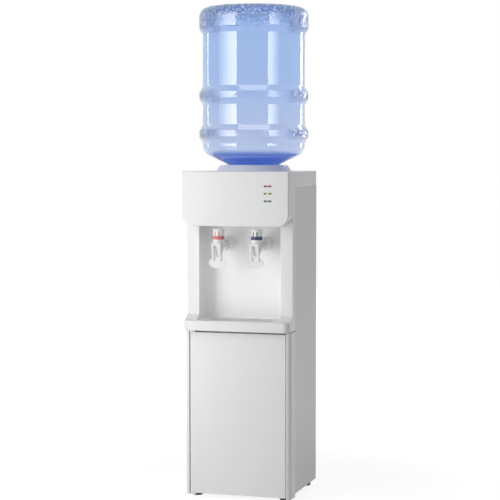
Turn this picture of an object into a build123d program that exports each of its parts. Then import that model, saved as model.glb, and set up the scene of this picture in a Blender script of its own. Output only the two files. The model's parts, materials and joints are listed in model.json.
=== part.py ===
from build123d import *
import os

# Bottled-water cooler that stands on the floor: hot and cold taps above a drip tray,
# a storage cupboard below, and an inverted bottle on top.
# Millimetres. X is right, Y is back and Z is up, with the origin on the floor
# under the middle of the whole outline.

os.makedirs("parts", exist_ok=True)

# General
wall = 3
sheet = 1
overrun = 5
seam = 0.4
fit_gap = 0.3
running_gap = 0.06

# Whole body
body_width = 267
body_depth = 262
body_top = 796
frame_bottom = 6
panel_bottom = 14

# Setbacks of the main planes behind the apron's face
door_setback = 20
panel_setback = 65
column_depth_share = 39 / 262
alcove_depth_share = 100 / 262

# Bottle, upside down on its shoulder
bottle_height = 453
band_r = 135
band_rise = 8.5
bottle_wall = 1.6
bottle_top_corner = 24
punt_inset = 47
punt_ramp = 18
punt_depth = 14
band_height_share = 15 / 318
band_ramp_share = 15 / 318
top_band_share = 28 / 318
band_middle_shares = (125 / 318, 31 / 318)
shoulder_inset = 23.5
shoulder_round_height = 26.5
shoulder_slope_share = 0.44
shoulder_rest_rise = 15.46
neck_r = 27.5
neck_drop = 51
cap_wall = 2.84
cap_height = 24
cap_hole_gap = 3
cap_sleeve_height = 16

# Top cover and collar
skirt_height = 36
cover_edge_r = 3
cover_corner_r = 6
collar_bore_r = 72
collar_top_width = 12
collar_flare = 10
collar_height = 14
collar_lip = 4
collar_rim_r = 2

# Bottle seat and feed probe
seat_wall = 2.5
seat_ledge_width = 10
well_gap = 5.6
well_drop = 13
probe_r = 8
probe_wall = 2.5
probe_flange_width = 7
probe_rise = 29
probe_tip = 8
probe_slot_width = 5
probe_slot_height = 18
probe_below = 14

# Apron and its three indicators
apron_height = 132
apron_corner_r = 28
apron_edge_r = 2.5
indicator_inset = 51.5
indicator_drops = (35.5, 53, 71)
indicator_length = 19.5
indicator_height = 4.5
indicator_flange = 2
indicator_flange_thickness = 1.5
led_board_side = 4.25
led_board_end = 11.25
led_board_thickness = 1.6
led_board_gap = 5
led_post_r = 2.5

# Front moulding: columns, alcove and ledge
ledge_share = 435 / 796
ledge_height = 24
ledge_corner_r = 15
column_width = 30.5
alcove_corner_r = 22
column_foot_height = 13
column_foot_reach = 19

# Drip tray
tray_side_margin = 15
tray_front_setback = 16
tray_rear_margin = 8
tray_height = 15
tray_corner_r = 8
tray_wall = 2
tray_gap = 0.5
grille_thickness = 2.5
grille_slot_width = 4
grille_slot_margin = 9.7
grille_slots = 15

# Lower front frame
post_corner_r = 12
post_width = 12
frame_gap = 2
jamb_cover = 13.5
floor_gap = 4
ceiling_drop = 21

# Door and its hinge
door_gap = 1.2
door_thickness = 18
door_wall = 2.5
door_foot_gap = 4
door_head_gap = 4
door_edge_r = 5
door_latch_edge_r = 2
hinge_pin_r = 2
hinge_boss_inset = 0.1
hinge_pin_depth = 12
hinge_boss_height = 18
hinge_lug_reach = 9
door_end_gap = 0.5
grip_width = 110
grip_depth = 14
door_rib = 2
door_ribs = 3
liner_thickness = 2
liner_panel_inset = 24
liner_panel_depth = 0.8

# Magnetic catch
catch_drop = 20
catch_width = 10
catch_height = 42
catch_thickness = 3
catch_plate_thickness = 0.8
catch_gap = 0.2

# Side and rear panels
panel_flange = 14
panel_bend_r = 2
rear_panel_inset = 5
louvre_length = 46
louvre_width = 4
louvre_pitch = 11
louvre_rows = 6
louvre_inset = 71.5
louvre_height_shares = (560 / 796, 220 / 796)
screw_head_r = 3.6
screw_head_height = 2
screw_shank_r = 1.6
screw_rows = 4

# Base and feet
base_height = 18
base_rib = 2.5
foot_r = 15
foot_taper = 3
foot_inset = 21.5
front_foot_setback = 52
rear_foot_inset = 24

# Taps
tap_x = 48
tap_setback = 24
tap_r = 14
tap_neck_wall = 2.5
spout_r = 7
spout_wall = 2.5
spout_height = 21
valve_seat_rise = 15
tap_barrel_height = 18.5
tap_shoulder_height = 2.5
ring_wall = 2
ring_lap = 6
ring_tab_width = 2.4
ring_tab_spacing = 9.2
ring_tab_height = 11
bonnet_drop = 7
bonnet_crown = 6
bonnet_flange_reach = 1.5
bonnet_flange_height = 4
bonnet_wall = 2.5
tail_drop = 12.5
tail_r = 8
tail_wall = 3.5
tail_end_setback = 90
boss_setback = 66
boss_r = 16.5
tap_flange_thickness = 3.5
tap_flange_inset = 1.5
nut_gap = 1
nut_thickness = 7

# Tap levers
lever_pivot_drop = 10.5
lever_pivot_gap = 5
lever_pin_r = 1.5
lever_lug_width = 12
lever_arm_width = 4.5
lever_arm_gap = 0.4
lever_arm_depth = 6
lever_eye_r = 4
lever_knee_drop = 20
lever_knee_forward = 18
paddle_drop = 45.5
paddle_forward = 12
paddle_r = 21
paddle_half_height = 13
paddle_thickness = 3.2
paddle_rim = 2

# Valve stems
stem_r = 2.5
stem_headroom = 7
stem_head_gap = 3.5
stem_head_height = 3
plug_gap = 1.5
plug_height = 8
guide_thickness = 3

# Cold tank, its insulation and the thermoelectric cooler
tank_clearance = 2
cold_tank_wall = 1.2
cold_tank_height = 110
cold_neck_wall = 4
cold_neck_height = 8
foam_thickness = 9
foam_floor = 8
foam_gap = 0.2
spigot_r = 5
spigot_wall = 1.5
spigot_length = 14
low_spigot_length = 5
cold_outlet_share = 20 / 43
feed_outlet_share = 28 / 43
cooler_rise = 54
cooler_size = 40
block_thickness = 13
module_thickness = 4
sink_size = 78
sink_base = 5
sink_depth_share = 23.5 / 262
fin_count = 11
fin_thickness = 1.6
fan_depth_share = 20.5 / 262
fan_bore_r = 37
fan_rim = 3
fan_hub_r = 14
fan_blades = 7
fan_blade_gap = 1.5
fan_blade_thickness = 1.6
fan_blade_pitch = 38
fan_blade_chord_share = 14 / 13
fan_web = 2.5
fan_side_gap = 0.6
fan_rotor_depth = 13
fan_shaft_r = 1.5
fan_arm = 4
fan_corner_r = 5
guard_ring_shares = (16 / 37, 23 / 37, 30 / 37, 1)
guard_ring_width = 1.6
guard_thickness = 2
guard_overlap = 9
guard_hub_r = 8

# Hot tank on the steel deck
deck_flange = 14
hot_tank_wall = 1.2
hot_tank_corner_share = 8 / 42
hot_leg_r = 3
hot_leg_circle_share = 32 / 42
hot_leg_angle = 70
hot_legs = 3
heater_band_thickness = 2
heater_band_rise_share = 30 / 118
heater_band_height_share = 40 / 118
jacket_thickness = 7
jacket_clearance = 0.8
jacket_bottom_gap = 6
jacket_top_gap = 10
thermostat_share = 8 / 42
thermostat_height = 7
thermostat_circle_share = 24 / 42
hot_outlet_share = 20 / 42
hot_inlet_share = 18 / 42
drain_share = 22 / 42

# Hoses
hose_r = 5
hose_wall = 1.5
hose_bend_r = 9
tap_hose_gap = 15
tap_hose_drop = 31
spigot_hose_drop = 12
hot_hose_rise = 16
feed_hose_gap = 10.8
low_hose_rise = 14
low_hose_drop = 11

# Control board on the deck
board_width = 52
board_length = 96
board_thickness = 1.6
board_height = 9
board_post_r = 2.5
board_inset = 43.5
board_gap = 6
transformer_width = 30
transformer_length = 38
transformer_height = 28
relay_size = 15

# Rear switches, cord inlet and drain
switch_inset = 45.5
switch_drops = (92, 132)
switch_width = 15
switch_height = 21
switch_bezel = 2
switch_body_depth = 16
switch_body_margin = 1
switch_side_wall = 1.5
rocker_height_share = 6.4 / 21
rocker_face = 2.5
rocker_end_rise = 1
rocker_tilt = 9
rocker_back = 4
rocker_back_half = 2
rocker_sweep_gap = 0.5
rocker_pin_r = 1.2
rocker_pin_length = 0.8
pivot_inset = 1
inlet_rise = 42
inlet_hole_r = 4
inlet_wall = 3
inlet_flange = 3
inlet_depth = 9
drain_spout_r = 7
drain_spout_reach = 12
drain_spout_inside = 10
drain_flange_reach = 4
drain_flange_thickness = 2
drain_cap_side = 3
drain_cap_wall = 2
drain_cap_grips = 12

# Depth: the cold tank takes what the alcove, the cooler and the fan leave of it
column_setback = body_depth * column_depth_share
alcove_setback = body_depth * alcove_depth_share
sink_depth = body_depth * sink_depth_share
fan_depth = body_depth * fan_depth_share
depth_for_tank = (
    body_depth
    - alcove_setback
    - wall
    - tank_clearance
    - foam_thickness
    - block_thickness
    - module_thickness
    - sink_depth
    - fan_depth
    - sheet
)
cold_tank_r = depth_for_tank / 2
foam_r = cold_tank_r + foam_thickness
bottle_axis_setback = alcove_setback + wall + tank_clearance + foam_r
jacket_r = foam_r - jacket_clearance
hot_tank_r = jacket_r - jacket_thickness - foam_gap - heater_band_thickness
drain_x = hot_tank_r * drain_share

# Planes from front to rear, with the whole outline centred on the origin
outline_front = min(0, bottle_axis_setback - band_r)
outline_rear = max(body_depth, bottle_axis_setback + band_r)
front = -(outline_front + outline_rear) / 2
rear = front + body_depth
rear_face = rear - sheet
column_y = front + column_setback
door_y = front + door_setback
door_rear = door_y + door_thickness
stop_y = door_rear + catch_plate_thickness + catch_gap + catch_thickness
panel_y = front + panel_setback
alcove_y = front + alcove_setback
axis_y = front + bottle_axis_setback
tap_y = front + tap_setback
boss_y = front + boss_setback
tail_end_y = front + tail_end_setback

# Widths
half_width = body_width / 2
alcove_width = body_width - 2 * column_width
tray_width = alcove_width - 2 * tray_side_margin
door_width = body_width - 2 * post_width
jamb_width = door_width - 2 * jamb_cover
foot_x = half_width - foot_inset
indicator_x = half_width - indicator_inset
louvre_x = half_width - louvre_inset
switch_x = switch_inset - half_width
board_x = board_inset - half_width

# Heights of the body, from its top and its foot
skirt_bottom = body_top - skirt_height
moulding_top = skirt_bottom - seam
apron_bottom = body_top - apron_height
ledge_top = body_top * ledge_share
ledge_bottom = ledge_top - ledge_height
frame_top = ledge_bottom - frame_gap
door_bottom = frame_bottom + door_foot_gap
door_top = frame_top - door_head_gap
storage_floor = panel_bottom + base_height + floor_gap
storage_ceiling = frame_top - ceiling_drop
deck_top = frame_top + sheet
indicator_heights = [body_top - drop for drop in indicator_drops]
switch_heights = [body_top - drop for drop in switch_drops]

# Bottle, its seat and the probe
seat_cone_r = collar_bore_r - seat_ledge_width
collar_top_r = collar_bore_r + collar_top_width
collar_base_r = collar_top_r + collar_flare
neck_bottom = body_top - neck_drop
bottle_top = neck_bottom + bottle_height
bottle_r = band_r - band_rise
shoulder_round_r = bottle_r - shoulder_inset
cap_r = neck_r + running_gap + cap_wall
cap_hole_r = probe_r + cap_hole_gap
well_r = cap_r + well_gap
well_floor = neck_bottom - well_drop
probe_top = neck_bottom + probe_rise
probe_bore_r = probe_r - probe_wall
probe_flange_r = probe_r + probe_flange_width

# Heights and radii of the taps, from the bonnet down
bonnet_top = apron_bottom - bonnet_drop
ring_tab_top = bonnet_top - bonnet_crown
ring_top = ring_tab_top - ring_tab_height
tap_body_top = ring_top - ring_lap
ring_bottom = tap_body_top - tap_shoulder_height
tap_body_bottom = ring_bottom - tap_barrel_height
spout_bottom = tap_body_bottom - spout_height
valve_seat_z = spout_bottom + valve_seat_rise
stem_top = bonnet_top - stem_headroom
tail_z = ring_bottom - tail_drop
lever_pivot_z = ring_bottom - lever_pivot_drop
lever_knee_z = lever_pivot_z - lever_knee_drop
paddle_z = lever_pivot_z - paddle_drop
tap_shoulder_r = tap_r - ring_wall
tap_bore_r = tap_shoulder_r - tap_neck_wall

# Heights of the tanks and hoses
cold_tank_top = well_floor - cold_neck_height
cold_tank_bottom = cold_tank_top - cold_tank_height
cooler_z = cold_tank_bottom + cooler_rise
cold_spigot_z = cold_tank_bottom - spigot_length
hose_level = min(tail_z - tap_hose_drop, cold_spigot_z - spigot_hose_drop)
hot_spigot_z = hose_level - hot_hose_rise
hot_tank_top = hot_spigot_z - spigot_length
low_hose_level = deck_top + low_hose_rise
low_spigot_z = low_hose_level + low_hose_drop
hot_tank_bottom = low_spigot_z + low_spigot_length
hot_tank_height = hot_tank_top - hot_tank_bottom
hose_bore_r = hose_r - hose_wall

bottle_axis = Axis((0, axis_y, 0), (0, 0, 1))
spin_plane = Plane(origin=(0, axis_y, 0), x_dir=(1, 0, 0), z_dir=(0, -1, 0))


def upright(y):
    """Plane across the body at depth y: local x is X, local y is Z, and it faces the front."""
    return Plane.XZ.offset(-y)


def block(x_span, y_span, z_span, mode=Mode.ADD):
    """A block between two corners, in the part that is being built."""
    lengths = [span[1] - span[0] for span in (x_span, y_span, z_span)]
    middle = [(span[0] + span[1]) / 2 for span in (x_span, y_span, z_span)]
    with Locations(tuple(middle)):
        Box(*lengths, mode=mode)


def flat_box(x_span, y_span):
    """A rectangle between two corners, in the sketch that is being drawn."""
    with Locations(((x_span[0] + x_span[1]) / 2, (y_span[0] + y_span[1]) / 2)):
        Rectangle(x_span[1] - x_span[0], y_span[1] - y_span[0])


def both_ways(half):
    """A span that reaches the same way left and right of the middle."""
    return (-half, half)


def shoulder_z(r):
    """Height at radius r of the bottle's shoulder cone, which rests on the seat's ledge."""
    return body_top + shoulder_rest_rise + (r - seat_cone_r) * shoulder_slope_share


# Feet: two short ones under the front frame and two tall ones under the base
with BuildPart() as feet:
    for foot_y, foot_height in (
        (front + front_foot_setback, frame_bottom),
        (rear - rear_foot_inset, panel_bottom),
    ):
        for side in (-1, 1):
            with BuildSketch() as foot_tip:
                with Locations((side * foot_x, foot_y)):
                    Circle(foot_r - foot_taper)
            with BuildSketch(Plane.XY.offset(foot_height)) as foot_top:
                with Locations((side * foot_x, foot_y)):
                    Circle(foot_r)
            loft()
feet.part.label = "feet"
export_step(feet.part, "parts/feet.step")

# Base: an inverted tray with ribs, between the side panels
base_half = half_width - sheet
base_front = panel_y + sheet + fit_gap
base_rear = rear_face - sheet - fit_gap
base_top = panel_bottom + base_height
with BuildPart() as base_tray:
    block(both_ways(base_half), (base_front, base_rear), (panel_bottom, base_top))
    fillet(base_tray.edges().filter_by(Axis.Z), radius=panel_bend_r)
    block(
        both_ways(base_half - wall),
        (base_front + wall, base_rear - wall),
        (panel_bottom - overrun, base_top - wall),
        mode=Mode.SUBTRACT,
    )
    for rib_x in (-base_half / 3, base_half / 3):
        block(
            (rib_x - base_rib / 2, rib_x + base_rib / 2),
            (base_front + wall, base_rear - wall),
            (panel_bottom, base_top - wall),
        )
    rib_y = (base_front + base_rear) / 2
    block(
        both_ways(base_half - wall),
        (rib_y - base_rib / 2, rib_y + base_rib / 2),
        (panel_bottom, base_top - wall),
    )
    with BuildSketch(Plane.XY.offset(panel_bottom)) as foot_pads:
        with Locations((-foot_x, rear - rear_foot_inset), (foot_x, rear - rear_foot_inset)):
            Circle(foot_r)
    extrude(amount=base_height - wall)
base_tray.part.label = "base_tray"
export_step(base_tray.part, "parts/base_tray.step")

# Lower front frame: rounded corner posts, jambs behind the door and lugs for its hinge
recess_half = door_width / 2 + door_gap
jamb_half = jamb_width / 2
with BuildPart() as lower_front_frame:
    with BuildSketch(Plane.XY.offset(frame_bottom)) as frame_plan:
        flat_box(both_ways(half_width), (door_y, panel_y))
        fillet(frame_plan.vertices().group_by(Axis.Y)[0], radius=post_corner_r)
    extrude(amount=frame_top - frame_bottom)
    block(
        both_ways(recess_half),
        (door_y - overrun, stop_y),
        (frame_bottom - overrun, frame_top + overrun),
        mode=Mode.SUBTRACT,
    )
    block(
        both_ways(jamb_half),
        (stop_y - overrun, panel_y + overrun),
        (storage_floor, storage_ceiling),
        mode=Mode.SUBTRACT,
    )
    for side in (-1, 1):
        pocket = sorted((side * (jamb_half + wall), side * (half_width - wall)))
        block(
            pocket,
            (stop_y + wall, panel_y + overrun),
            (frame_bottom + wall, frame_top - wall),
            mode=Mode.SUBTRACT,
        )
    for low, high in (
        (frame_bottom + wall, storage_floor - wall),
        (storage_ceiling + wall, frame_top - wall),
    ):
        block(
            both_ways(jamb_half),
            (stop_y + wall, panel_y + overrun),
            (low, high),
            mode=Mode.SUBTRACT,
        )
    hinge_x = -door_width / 2 + door_edge_r
    hinge_y = door_y + door_edge_r
    lug_spans = (
        (frame_bottom, door_bottom - door_end_gap),
        (door_top + door_end_gap, frame_top),
    )
    for lug_span in lug_spans:
        block((-recess_half, hinge_x + hinge_lug_reach), (door_y + seam, stop_y), lug_span)
    with Locations((hinge_x, hinge_y)):
        Cylinder(
            hinge_pin_r,
            frame_top,
            align=(Align.CENTER, Align.CENTER, Align.MIN),
            mode=Mode.SUBTRACT,
        )
lower_front_frame.part.label = "lower_front_frame"
export_step(lower_front_frame.part, "parts/lower_front_frame.step")

# Hinge pins: pressed in the frame's lugs, each turning in a boss of the door
with BuildPart() as door_hinge_pins:
    for pin_span in (
        (frame_bottom, door_bottom + hinge_pin_depth),
        (door_top - hinge_pin_depth, frame_top),
    ):
        with BuildSketch(Plane.XY.offset(pin_span[0])) as pin_section:
            with Locations((hinge_x, hinge_y)):
                Circle(hinge_pin_r)
        extrude(amount=pin_span[1] - pin_span[0])
door_hinge_pins.part.label = "door_hinge_pins"
export_step(door_hinge_pins.part, "parts/door_hinge_pins.step")

# Door: a hollow moulding with a finger recess behind its top edge
door_half = door_width / 2
door_height = door_top - door_bottom
grip_floor = door_top - grip_depth
with BuildPart() as storage_door:
    with BuildSketch(Plane.XY.offset(door_bottom)) as door_plan:
        flat_box(both_ways(door_half), (door_y, door_rear))
        front_corners = door_plan.vertices().group_by(Axis.Y)[0].sort_by(Axis.X)
        fillet(front_corners[0], radius=door_edge_r)
        latch_corner = door_plan.vertices().group_by(Axis.Y)[0].sort_by(Axis.X)[-1]
        fillet(latch_corner, radius=door_latch_edge_r)
    extrude(amount=door_height)
    block(
        both_ways(door_half - door_wall),
        (door_y + door_wall, door_rear + overrun),
        (door_bottom + door_wall, door_top - door_wall),
        mode=Mode.SUBTRACT,
    )
    for rib_number in range(1, door_ribs + 1):
        rib_z = door_bottom + door_height * rib_number / (door_ribs + 1)
        block(
            both_ways(door_half - door_wall),
            (door_y + door_wall, door_rear - liner_thickness - fit_gap),
            (rib_z - door_rib / 2, rib_z + door_rib / 2),
        )
    block(
        both_ways(grip_width / 2 + door_wall),
        (door_y + door_wall, door_rear),
        (grip_floor - door_wall, door_top),
    )
    block(
        both_ways(grip_width / 2),
        (door_y + door_wall, door_rear - door_wall),
        (grip_floor, door_top + overrun),
        mode=Mode.SUBTRACT,
    )
    for boss_bottom in (door_bottom, door_top - hinge_boss_height):
        with BuildSketch(Plane.XY.offset(boss_bottom)) as hinge_boss:
            with Locations((hinge_x, hinge_y)):
                Circle(door_edge_r - hinge_boss_inset)
        extrude(amount=hinge_boss_height)
    for hole_bottom in (door_bottom, door_top - hinge_pin_depth - door_end_gap):
        with BuildSketch(Plane.XY.offset(hole_bottom)) as hinge_hole:
            with Locations((hinge_x, hinge_y)):
                Circle(hinge_pin_r + running_gap)
        extrude(amount=hinge_pin_depth + door_end_gap, mode=Mode.SUBTRACT)
storage_door.part.label = "storage_door"
export_step(storage_door.part, "parts/storage_door.step")

# Door liner: closes the back of the door round the finger recess
liner_half = door_half - door_wall - fit_gap
liner_top = grip_floor - door_wall - fit_gap
liner_bottom = door_bottom + door_wall + fit_gap
liner_front = door_rear - liner_thickness
with BuildPart() as door_liner:
    block(both_ways(liner_half), (liner_front, door_rear), (liner_bottom, liner_top))
    block(
        both_ways(liner_half - liner_panel_inset),
        (door_rear - liner_panel_depth, door_rear + overrun),
        (liner_bottom + liner_panel_inset, liner_top - liner_panel_inset),
        mode=Mode.SUBTRACT,
    )
    fillet(
        door_liner.edges().filter_by(Axis.Y).group_by(Axis.Y)[-1],
        radius=liner_panel_inset / 3,
    )
door_liner.part.label = "door_liner"
export_step(door_liner.part, "parts/door_liner.step")

# Magnetic catch on the jamb and its plate on the door, where the two lie face to face
catch_x = (jamb_half + liner_half) / 2
catch_z = storage_ceiling - catch_drop
with BuildPart() as catch_magnet:
    with BuildSketch(upright(stop_y)) as magnet_face:
        with Locations((catch_x, catch_z)):
            RectangleRounded(catch_width, catch_height, catch_thickness / 2)
    extrude(amount=catch_thickness)
catch_magnet.part.label = "catch_magnet"
export_step(catch_magnet.part, "parts/catch_magnet.step")

with BuildPart() as catch_plate:
    with BuildSketch(upright(door_rear)) as plate_face:
        with Locations((catch_x, catch_z)):
            RectangleRounded(catch_width, catch_height, catch_thickness / 2)
            Rectangle(catch_width / 3, catch_height / 3, mode=Mode.SUBTRACT)
    extrude(amount=-catch_plate_thickness)
catch_plate.part.label = "catch_plate"
export_step(catch_plate.part, "parts/catch_plate.step")

# Side panels: folded steel sheet, open towards the inside
for side, side_name in ((-1, "left"), (1, "right")):
    with BuildPart() as side_panel:
        with BuildSketch(Plane.XY.offset(panel_bottom)) as panel_plan:
            outer_x = side * half_width
            fold_x = side * (half_width - panel_flange)
            flat_box(sorted((outer_x, fold_x)), (panel_y, rear_face))
            fillet(panel_plan.vertices().group_by(Axis.X)[0 if side < 0 else -1], panel_bend_r)
            with BuildSketch(mode=Mode.SUBTRACT) as panel_inside:
                inside = sorted((side * (half_width - sheet), fold_x - side * overrun))
                flat_box(inside, (panel_y + sheet, rear_face - sheet))
                fillet(
                    panel_inside.vertices().group_by(Axis.X)[0 if side < 0 else -1],
                    panel_bend_r - sheet / 2,
                )
        extrude(amount=moulding_top - panel_bottom)
    side_panel.part.label = f"side_panel_{side_name}"
    export_step(side_panel.part, f"parts/side_panel_{side_name}.step")

# Rear panel: louvres, fan opening, and holes for the switches, cord and drain
panel_half = half_width - rear_panel_inset
panel_low = panel_bottom + rear_panel_inset
panel_high = moulding_top - rear_panel_inset
fan_z = cooler_z
inlet_z = deck_top + inlet_rise
screw_rise = (panel_high - panel_low - 2 * panel_flange) / (screw_rows - 1)
screw_places = [
    (side * (half_width - panel_flange / 2), panel_low + panel_flange + row * screw_rise)
    for side in (-1, 1)
    for row in range(screw_rows)
]
with BuildPart() as rear_panel:
    with BuildSketch(upright(rear_face)) as rear_face_sketch:
        flat_box(both_ways(panel_half), (panel_low, panel_high))
        with Locations((0, fan_z)):
            Circle(fan_bore_r, mode=Mode.SUBTRACT)
        for louvre_share in louvre_height_shares:
            with Locations((0, body_top * louvre_share)):
                with GridLocations(2 * louvre_x, louvre_pitch, 2, louvre_rows):
                    SlotOverall(louvre_length, louvre_width, mode=Mode.SUBTRACT)
        with Locations(*[(switch_x, z) for z in switch_heights]):
            Rectangle(
                switch_width - 2 * switch_body_margin,
                switch_height - 2 * switch_body_margin,
                mode=Mode.SUBTRACT,
            )
        with Locations((switch_x, inlet_z)):
            Circle(inlet_hole_r + inlet_wall, mode=Mode.SUBTRACT)
        with Locations((drain_x, low_hose_level)):
            Circle(drain_spout_r, mode=Mode.SUBTRACT)
        with Locations(*screw_places):
            Circle(screw_shank_r, mode=Mode.SUBTRACT)
    extrude(amount=-sheet)
rear_panel.part.label = "rear_panel"
export_step(rear_panel.part, "parts/rear_panel.step")

# Screws through the rear panel into the side panels' folds
with BuildPart() as rear_screws:
    with BuildSketch(upright(rear)) as screw_heads:
        with Locations(*screw_places):
            Circle(screw_head_r)
    extrude(amount=-screw_head_height)
    with BuildSketch(upright(rear)) as screw_shanks:
        with Locations(*screw_places):
            Circle(screw_shank_r)
    extrude(amount=sheet)
rear_screws.part.label = "rear_screws"
export_step(rear_screws.part, "parts/rear_screws.step")

# Front moulding: one shell with the columns, the alcove, the tap bosses and the ledge
housing_half = alcove_width / 2 + wall
tray_half = tray_width / 2
tray_span_y = (front + tray_front_setback, alcove_y - tray_rear_margin)
recess_floor = ledge_top - tray_height - tray_gap
with BuildPart() as front_moulding:
    with BuildSketch(Plane.XY.offset(ledge_bottom)) as column_plan:
        flat_box(both_ways(half_width), (column_y, panel_y))
    extrude(amount=moulding_top - ledge_bottom)
    with BuildSketch(Plane.XY.offset(ledge_bottom)) as ledge_plan:
        flat_box(both_ways(half_width), (front, panel_y))
        fillet(ledge_plan.vertices().group_by(Axis.Y)[0], radius=ledge_corner_r)
    extrude(amount=ledge_top - ledge_bottom)
    with BuildSketch(Plane.YZ.offset(-half_width)) as column_foot:
        with BuildLine():
            Polyline(
                (column_y, ledge_top),
                (column_y - column_foot_reach, ledge_top),
                (column_y, ledge_top + column_foot_height),
                close=True,
            )
        make_face()
    extrude(amount=body_width)
    with BuildSketch(Plane.XY.offset(ledge_bottom)) as housing_plan:
        flat_box(both_ways(housing_half), (panel_y - overrun, alcove_y + wall))
        fillet(
            housing_plan.vertices().group_by(Axis.Y)[-1],
            radius=alcove_corner_r + wall,
        )
    extrude(amount=apron_bottom + wall - ledge_bottom)
    with BuildSketch(Plane.XY.offset(ledge_top)) as alcove_plan:
        flat_box(both_ways(alcove_width / 2), (front - overrun, alcove_y))
        fillet(alcove_plan.vertices().group_by(Axis.Y)[-1], radius=alcove_corner_r)
    extrude(amount=apron_bottom - ledge_top, mode=Mode.SUBTRACT)
    with BuildSketch(Plane.XY.offset(recess_floor)) as tray_plan:
        flat_box(
            both_ways(tray_half + tray_gap),
            (tray_span_y[0] - tray_gap, tray_span_y[1] + tray_gap),
        )
        fillet(tray_plan.vertices(), radius=tray_corner_r + tray_gap)
    extrude(amount=ledge_top - recess_floor, mode=Mode.SUBTRACT)
    with BuildSketch(Plane.XY.offset(ledge_bottom)) as underside_plan:
        flat_box(both_ways(half_width - wall), (front + wall, panel_y + overrun))
        fillet(
            underside_plan.vertices().group_by(Axis.Y)[0],
            radius=ledge_corner_r - wall,
        )
        flat_box(both_ways(alcove_width / 2 - alcove_corner_r), (panel_y, alcove_y))
    extrude(amount=recess_floor - wall - ledge_bottom, mode=Mode.SUBTRACT)
    for side in (-1, 1):
        block(
            sorted((side * housing_half, side * (half_width - wall))),
            (column_y + wall, panel_y + overrun),
            (ledge_top, moulding_top - wall),
            mode=Mode.SUBTRACT,
        )
    block(
        both_ways(half_width - wall),
        (column_y + wall, panel_y + overrun),
        (apron_bottom + wall, moulding_top - wall),
        mode=Mode.SUBTRACT,
    )
    with BuildSketch(upright(boss_y)) as boss_faces:
        with Locations((-tap_x, tail_z), (tap_x, tail_z)):
            Circle(boss_r)
    extrude(amount=-(alcove_y + wall / 2 - boss_y))
    with BuildSketch(upright(boss_y + wall)) as boss_hollows:
        with Locations((-tap_x, tail_z), (tap_x, tail_z)):
            Circle(boss_r - wall)
    extrude(amount=-(alcove_y + wall + overrun - boss_y - wall), mode=Mode.SUBTRACT)
    with BuildSketch(upright(boss_y)) as tail_holes:
        with Locations((-tap_x, tail_z), (tap_x, tail_z)):
            Circle(tail_r + fit_gap)
    extrude(amount=-(wall + overrun), mode=Mode.SUBTRACT)
front_moulding.part.label = "front_moulding"
export_step(front_moulding.part, "parts/front_moulding.step")

# Drip tray: a shallow pan that lifts out of the ledge
tray_bottom = ledge_top - tray_height
with BuildPart() as drip_tray:
    with BuildSketch(Plane.XY.offset(tray_bottom)) as pan_plan:
        flat_box(both_ways(tray_half), tray_span_y)
        fillet(pan_plan.vertices(), radius=tray_corner_r)
    extrude(amount=tray_height)
    with BuildSketch(Plane.XY.offset(tray_bottom + tray_wall)) as pan_inside:
        flat_box(
            both_ways(tray_half - 2 * tray_wall),
            (tray_span_y[0] + 2 * tray_wall, tray_span_y[1] - 2 * tray_wall),
        )
        fillet(pan_inside.vertices(), radius=tray_corner_r - 2 * tray_wall)
    extrude(amount=tray_height, mode=Mode.SUBTRACT)
    with BuildSketch(Plane.XY.offset(ledge_top - grille_thickness)) as grille_rebate:
        flat_box(
            both_ways(tray_half - tray_wall),
            (tray_span_y[0] + tray_wall, tray_span_y[1] - tray_wall),
        )
        fillet(grille_rebate.vertices(), radius=tray_corner_r - tray_wall)
    extrude(amount=grille_thickness + overrun, mode=Mode.SUBTRACT)
drip_tray.part.label = "drip_tray"
export_step(drip_tray.part, "parts/drip_tray.step")

# Grille: lies in the tray's rebate, with one row of slots
grille_half = tray_half - tray_wall - fit_gap
grille_span_y = (tray_span_y[0] + tray_wall + fit_gap, tray_span_y[1] - tray_wall - fit_gap)
grille_slot_length = grille_span_y[1] - grille_span_y[0] - 2 * grille_slot_margin
slot_pitch = 2 * (grille_half - tray_corner_r) / grille_slots
with BuildPart() as drip_grille:
    with BuildSketch(Plane.XY.offset(ledge_top - grille_thickness)) as grille_plan:
        flat_box(both_ways(grille_half), grille_span_y)
        fillet(grille_plan.vertices(), radius=tray_corner_r - tray_wall - fit_gap)
        with Locations((0, (grille_span_y[0] + grille_span_y[1]) / 2)):
            with GridLocations(slot_pitch, slot_pitch, grille_slots, 1):
                SlotOverall(
                    grille_slot_length, grille_slot_width, rotation=90, mode=Mode.SUBTRACT
                )
    extrude(amount=grille_thickness)
drip_grille.part.label = "drip_grille"
export_step(drip_grille.part, "parts/drip_grille.step")

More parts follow.
